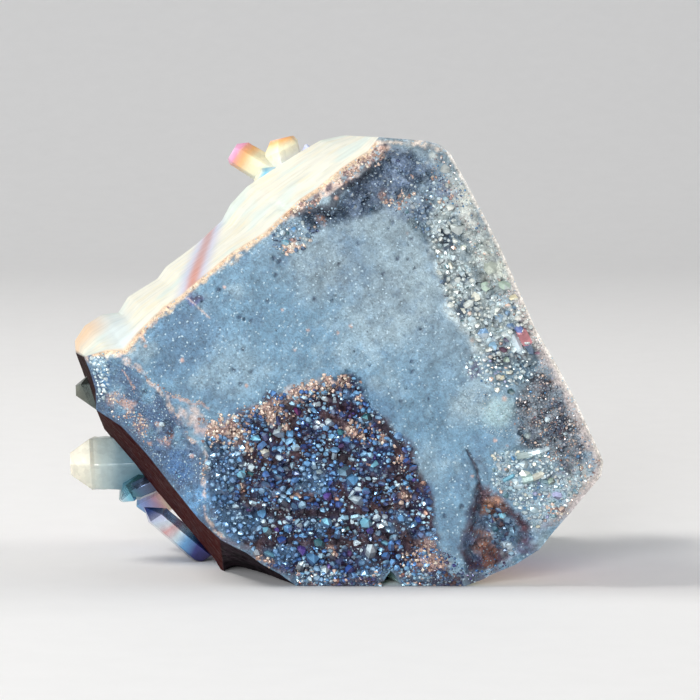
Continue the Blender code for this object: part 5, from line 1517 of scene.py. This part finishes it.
def bands(*stops):
    """A paint that blends along the point: stops are (share of the length, colour)."""
    def paint(points, shares, sides):
        wavy = np.clip(shares + 0.07 * fractal(points, 1.2, 151), 0.0, 1.0)
        tint = gradient(wavy, stops)
        shade = 1.0 + 0.16 * np.cos(sides * 2.1 + 0.6) + 0.1 * fractal(points, 0.6, 153)
        return tint * shade[:, None]
    return paint


def film(phase):
    """A paint with the coating's interference colours, shifting along the point and from side to side."""
    def paint(points, shares, sides):
        thickness = phase + 0.75 * shares + 0.16 * np.sin(sides * 2.4 + 7.0 * phase)
        tint = mix(film_colour(thickness + 0.22 * fractal(points, 2.4, 157)), rgb(150, 178, 200), FILM_STEEL)
        # Painted shade: the coating is darker towards the root of each point and lighter towards its tip.
        return tint * (0.72 + 0.45 * shares + 0.15 * fractal(points, 0.8, 159))[:, None]
    return paint


def quartz_pieces(milky, coated):
    """All quartz points around the big crystal."""
    dice = random.Random(POINT_SEED)
    shapes = [quartz_point(*values, dice) for values in (*QUARTZ_POINTS, *small_points(dice))]
    paints = [
        bands((0.0, TEAL), (0.3, rgb(66, 104, 120)), (0.5, rgb(112, 138, 148)),
              (0.68, rgb(172, 186, 184)), (0.82, rgb(214, 212, 196)), (1.0, rgb(232, 226, 208))),
        bands((0.0, rgb(40, 48, 50)), (0.5, rgb(84, 94, 90)), (1.0, rgb(138, 140, 128))),
        bands((0.0, NAVY), (0.4, TEAL), (0.7, CYAN), (1.0, ICE)),
        bands((0.0, MAROON), (0.5, SLATE), (0.8, TEAL), (1.0, CYAN)),
        bands((0.0, NAVY), (0.6, rgb(96, 130, 140)), (1.0, FROST_PALE)),
        bands((0.0, rgb(30, 18, 30)), (0.7, rgb(44, 26, 44)), (1.0, VIOLET * 0.5)),
        bands((0.0, rgb(40, 30, 60)), (0.16, rgb(56, 60, 120)), (0.3, SKY), (0.42, ICE),
              (0.52, rgb(206, 150, 150)), (0.6, ICE), (0.72, LAVENDER), (0.86, ROYAL), (1.0, VIOLET)),
        bands((0.0, IVORY), (0.42, PALE_YELLOW), (0.58, ORANGE), (0.74, PINK), (1.0, rgb(238, 186, 212))),
        bands((0.0, ICE), (0.5, IVORY), (0.75, PALE_YELLOW), (0.9, ORANGE), (1.0, PINK)),
        bands((0.0, IVORY), (0.5, ICE), (0.8, CYAN), (1.0, PALE_YELLOW)),
        bands((0.0, IVORY), (0.5, LAVENDER), (1.0, rgb(206, 216, 236))),
    ]
    front = [(*shape, paint) for shape, paint in zip(shapes, paints)]
    back = [(*shape, film(0.37 * i + 0.1)) for i, shape in enumerate(shapes[len(paints):])]
    return (points_piece("milky_point", front[:FIRST_SIDE], [milky]),
            points_piece("side_points", front[FIRST_SIDE:FIRST_SHOULDER], [coated]),
            points_piece("shoulder_points", front[FIRST_SHOULDER:], [milky]),
            points_piece("back_points", back, [coated]))


# ---------------------------------------------------------------- materials
MIX_FIRST, MIX_SECOND, MIX_RESULT = 6, 7, 2         # the colour sockets of a mix node
PAINTED_GLINT_COLOUR = (0.42, 0.56, 0.64, 1.0)              # painted glint of the few cells that stay bright
COAT_ROUGHNESS = 0.12
MILKY_DEPTHS = (1.0, 0.8, 0.6)                      # how deep red, green and blue go into milky quartz


def node(tree, kind, inputs=(), **settings):
    """Adds a shader node. Inputs are (socket, value or output to link)."""
    made = tree.nodes.new(kind)
    for name, value in settings.items():
        setattr(made, name, value)
    for socket, value in inputs:
        if isinstance(value, bpy.types.NodeSocket):
            tree.links.new(value, made.inputs[socket])
        else:
            made.inputs[socket].default_value = value
    return made


def math_node(tree, operation, *values):
    """The output of a shader node that works one sum."""
    return node(tree, "ShaderNodeMath", enumerate(values), operation=operation).outputs[0]


def scaled_noise(tree, place, size_mm, detail=3.0):
    """Noise of the given size over the piece."""
    inputs = (("Vector", place), ("Scale", 1.0 / (size_mm * MM)), ("Detail", detail), ("Roughness", 0.6))
    return node(tree, "ShaderNodeTexNoise", inputs).outputs["Fac"]


def centred(tree, value):
    """The value, moved to lie around 0."""
    return math_node(tree, "SUBTRACT", value, 0.5)


def blend(tree, share, low, high):
    """A colour between two others."""
    inputs = (("Factor", share), (MIX_FIRST, low), (MIX_SECOND, high))
    return node(tree, "ShaderNodeMix", inputs, data_type="RGBA").outputs[MIX_RESULT]


def new_material(name):
    """A new material with its node tree and its shader."""
    material = bpy.data.materials.new(name)
    material.use_nodes = True
    return material, material.node_tree, material.node_tree.nodes["Principled BSDF"]


def surface(name, metallic, roughness, *, cell, tilt, grain, bump, mottling, glint=0.0,
            stretch=(1.0, 1.0, 1.0), coat=0.0, subsurface=0.0, gloss=0.5):
    """A stone surface: the painted tint with fine mottling, tiny tilted cells, a few with a painted glint in
    their colour, and fine relief.

    cell and grain are sizes in millimetres, bump is the relief's height in millimetres, tilt is how far the
    cells lean, and glint is the share of cells painted with a bright glint.
    """
    material, tree, shader = new_material(name)
    place = node(tree, "ShaderNodeTexCoord").outputs["Object"]
    place = node(tree, "ShaderNodeMapping", (("Vector", place), ("Scale", stretch))).outputs["Vector"]
    tint = node(tree, "ShaderNodeVertexColor", layer_name="tint").outputs["Color"]
    inputs = (("Vector", place), ("Scale", 1.0 / (cell * MM)), ("Randomness", 1.0))
    cells = node(tree, "ShaderNodeTexVoronoi", inputs)
    chance = node(tree, "ShaderNodeSeparateColor", (("Color", cells.outputs["Color"]),))
    coarse = scaled_noise(tree, place, 5.0 * grain)
    fine = scaled_noise(tree, place, grain, 4.0)

    shade = math_node(tree, "MULTIPLY_ADD", coarse, mottling, 1.0 - 0.5 * mottling)
    shade = math_node(tree, "MULTIPLY_ADD", centred(tree, fine), mottling, shade)
    shade = math_node(tree, "MULTIPLY_ADD", centred(tree, chance.outputs["Red"]), 0.8 * mottling, shade)
    colour = node(tree, "ShaderNodeVectorMath", ((0, tint), (3, shade)), operation="SCALE").outputs["Vector"]
    # Painted glint: a few cells get a bright colour.
    if glint:
        inputs = (("Value", chance.outputs["Green"]), ("From Min", 1.0 - glint),
                  ("From Max", 1.0 - 0.5 * glint))
        bright = node(tree, "ShaderNodeMapRange", inputs, clamp=True).outputs["Result"]
        colour = blend(tree, bright, colour, PAINTED_GLINT_COLOUR)
    tree.links.new(colour, shader.inputs["Base Color"])

    rough = math_node(tree, "MULTIPLY_ADD", chance.outputs["Blue"], 0.5 * roughness, 0.75 * roughness)
    rough = math_node(tree, "MULTIPLY_ADD", centred(tree, coarse), 0.5 * roughness, rough)
    tree.links.new(rough, shader.inputs["Roughness"])

    lean = node(tree, "ShaderNodeVectorMath", ((0, cells.outputs["Color"]), (1, (0.5, 0.5, 0.5))),
                operation="SUBTRACT").outputs["Vector"]
    normal = node(tree, "ShaderNodeNewGeometry").outputs["Normal"]
    lean = node(tree, "ShaderNodeVectorMath", ((0, lean), (1, (tilt,) * 3), (2, normal)),
                operation="MULTIPLY_ADD").outputs["Vector"]
    lean = node(tree, "ShaderNodeVectorMath", ((0, lean),), operation="NORMALIZE").outputs["Vector"]
    height = math_node(tree, "MULTIPLY_ADD", cells.outputs["Distance"], 0.6, fine)
    inputs = (("Height", height), ("Normal", lean), ("Strength", 1.0), ("Distance", bump * MM))
    relief = node(tree, "ShaderNodeBump", inputs)
    tree.links.new(relief.outputs["Normal"], shader.inputs["Normal"])

    values = {"Metallic": metallic, "Specular IOR Level": gloss, "Coat Weight": coat,
              "Coat Roughness": COAT_ROUGHNESS}
    if subsurface:
        values.update({"Subsurface Weight": subsurface, "Subsurface Radius": MILKY_DEPTHS,
                       "Subsurface Scale": MM})
    for socket, value in values.items():
        shader.inputs[socket].default_value = value
    return material


# ---------------------------------------------------------------- stage, light and camera
CAMERA_TILT = 5.0              # degrees above the horizon
CAMERA_DISTANCE = 300.0        # millimetres, as in the lines below
CAMERA_TARGET = (1.78, -15.644, 20.18)
PIXEL = 0.0855                 # width of one picture point at the target
PICTURE = 700                  # picture points across
SENSOR = 36.0
NEAR_CLIP = 0.01               # metres
# Discs of light: (name, place, power, size, colour), in metres and watts.
LAMPS = (
    ("key", (-0.4, 0.04, 0.44), 2.2, 0.22, (1.0, 0.97, 0.92)),
    ("fill", (-0.16, -0.68, 0.2), 3.5, 0.3, (0.97, 0.98, 1.0)),
    ("rim", (0.5, 0.1, 0.25), 1.2, 0.25, (1.0, 0.95, 0.9)),
)
LAMP_AIM = (0.0, 0.0, 0.018)
SKY_COLOUR = (0.86, 0.9, 0.96, 1.0)
SKY_STRENGTH = 0.25
FLOOR_TONES = ((0.86, 0.86, 0.86, 1.0), (0.9, 0.9, 0.9, 1.0))


def sweep():
    """A pale floor that curves up into the wall far behind, in metres."""
    radius, wall, near, far, half = 0.35, 1.3, -2.0, 0.75, 2.2
    profile = [(near, 0.0), (far - radius, 0.0)]
    profile += [(far - radius + radius * math.sin(a), radius * (1.0 - math.cos(a)))
                for a in np.linspace(0.0, math.pi / 2.0, 25)[1:]]
    profile.append((far, wall))
    points = [(x, y, z) for y, z in profile for x in (-half, half)]
    faces = [(2 * i, 2 * i + 1, 2 * i + 3, 2 * i + 2) for i in range(len(profile) - 1)]
    mesh = bpy.data.meshes.new("floor")
    mesh.from_pydata(points, [], faces)
    mesh.shade_smooth()
    material, tree, shader = new_material("pale_floor")
    grain = scaled_noise(tree, node(tree, "ShaderNodeTexCoord").outputs["Object"], 4.0)
    tree.links.new(blend(tree, grain, *FLOOR_TONES), shader.inputs["Base Color"])
    shader.inputs["Roughness"].default_value = 0.7
    mesh.materials.append(material)
    floor = add_object("floor", mesh)


def studio():
    """A pale surrounding light and three lamps."""
    world = bpy.data.worlds.new("studio")
    world.use_nodes = True
    background = world.node_tree.nodes["Background"]
    background.inputs["Color"].default_value = SKY_COLOUR
    background.inputs["Strength"].default_value = SKY_STRENGTH
    bpy.context.scene.world = world
    for name, place, power, size, colour in LAMPS:
        lamp = bpy.data.lights.new(name, "AREA")
        lamp.shape = "DISK"
        lamp.size = size
        lamp.energy = power
        lamp.color = colour
        thing = add_object(name, lamp)
        thing.location = place
        thing.rotation_euler = (Vector(LAMP_AIM) - Vector(place)).to_track_quat("-Z", "Y").to_euler()
    bpy.context.scene.view_settings.view_transform = "Standard"


def camera():
    """The photo's camera: far away, and a little above the horizon."""
    tilt = math.radians(CAMERA_TILT)
    look = Vector((0.0, math.cos(tilt), -math.sin(tilt)))
    lens = bpy.data.cameras.new("camera")
    lens.sensor_width = SENSOR
    lens.lens = SENSOR * (CAMERA_DISTANCE / PIXEL) / PICTURE
    lens.clip_start = NEAR_CLIP
    thing = add_object("camera", lens)
    thing.location = (Vector(CAMERA_TARGET) - look * CAMERA_DISTANCE) * MM
    thing.rotation_euler = look.to_track_quat("-Z", "Y").to_euler()
    bpy.context.scene.camera = thing


def main():
    """Builds the materials, the eight pieces, the floor, the light and the camera."""
    frost = surface("frosted_face", 0.2, 0.5, cell=0.13, tilt=0.26, grain=0.14, bump=0.026, mottling=0.68,
                    glint=0.035)
    coated_prism = surface("coated_prism", 0.75, 0.24, cell=0.5, tilt=0.06, grain=0.3, bump=0.015,
                           mottling=0.3, stretch=(0.35, 3.0, 0.35), coat=0.3)
    cream = surface("cream_prism", 0.0, 0.5, cell=1.6, tilt=0.01, grain=1.0, bump=0.008, mottling=0.12,
                    stretch=(0.5, 2.0, 0.5), coat=0.15)
    strip = surface("red_brown_prism", 0.0, 0.7, cell=0.3, tilt=0.05, grain=0.2, bump=0.01, mottling=0.3,
                    stretch=(0.7, 1.4, 0.7), gloss=0.03)
    druse = surface("druse", 0.22, 0.22, cell=0.3, tilt=0.05, grain=0.12, bump=0.006, mottling=0.3, coat=0.3)
    grains = surface("peach_grains", 0.35, 0.34, cell=0.12, tilt=0.2, grain=0.1, bump=0.02, mottling=0.4)
    milky = surface("milky_points", 0.05, 0.42, cell=0.5, tilt=0.05, grain=0.4, bump=0.02, mottling=0.18,
                    coat=0.15, subsurface=0.35)
    coated = surface("coated_points", 0.8, 0.16, cell=0.6, tilt=0.04, grain=0.35, bump=0.012, mottling=0.3,
                     coat=0.4)
    pieces = [big_crystal([frost, coated_prism, cream, strip]), *druse_pieces(druse, grains),
              *quartz_pieces(milky, coated)]
    for piece in pieces:
        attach(piece, "root")
    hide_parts(CAD_NODE)
    sweep()
    studio()
    camera()


main()
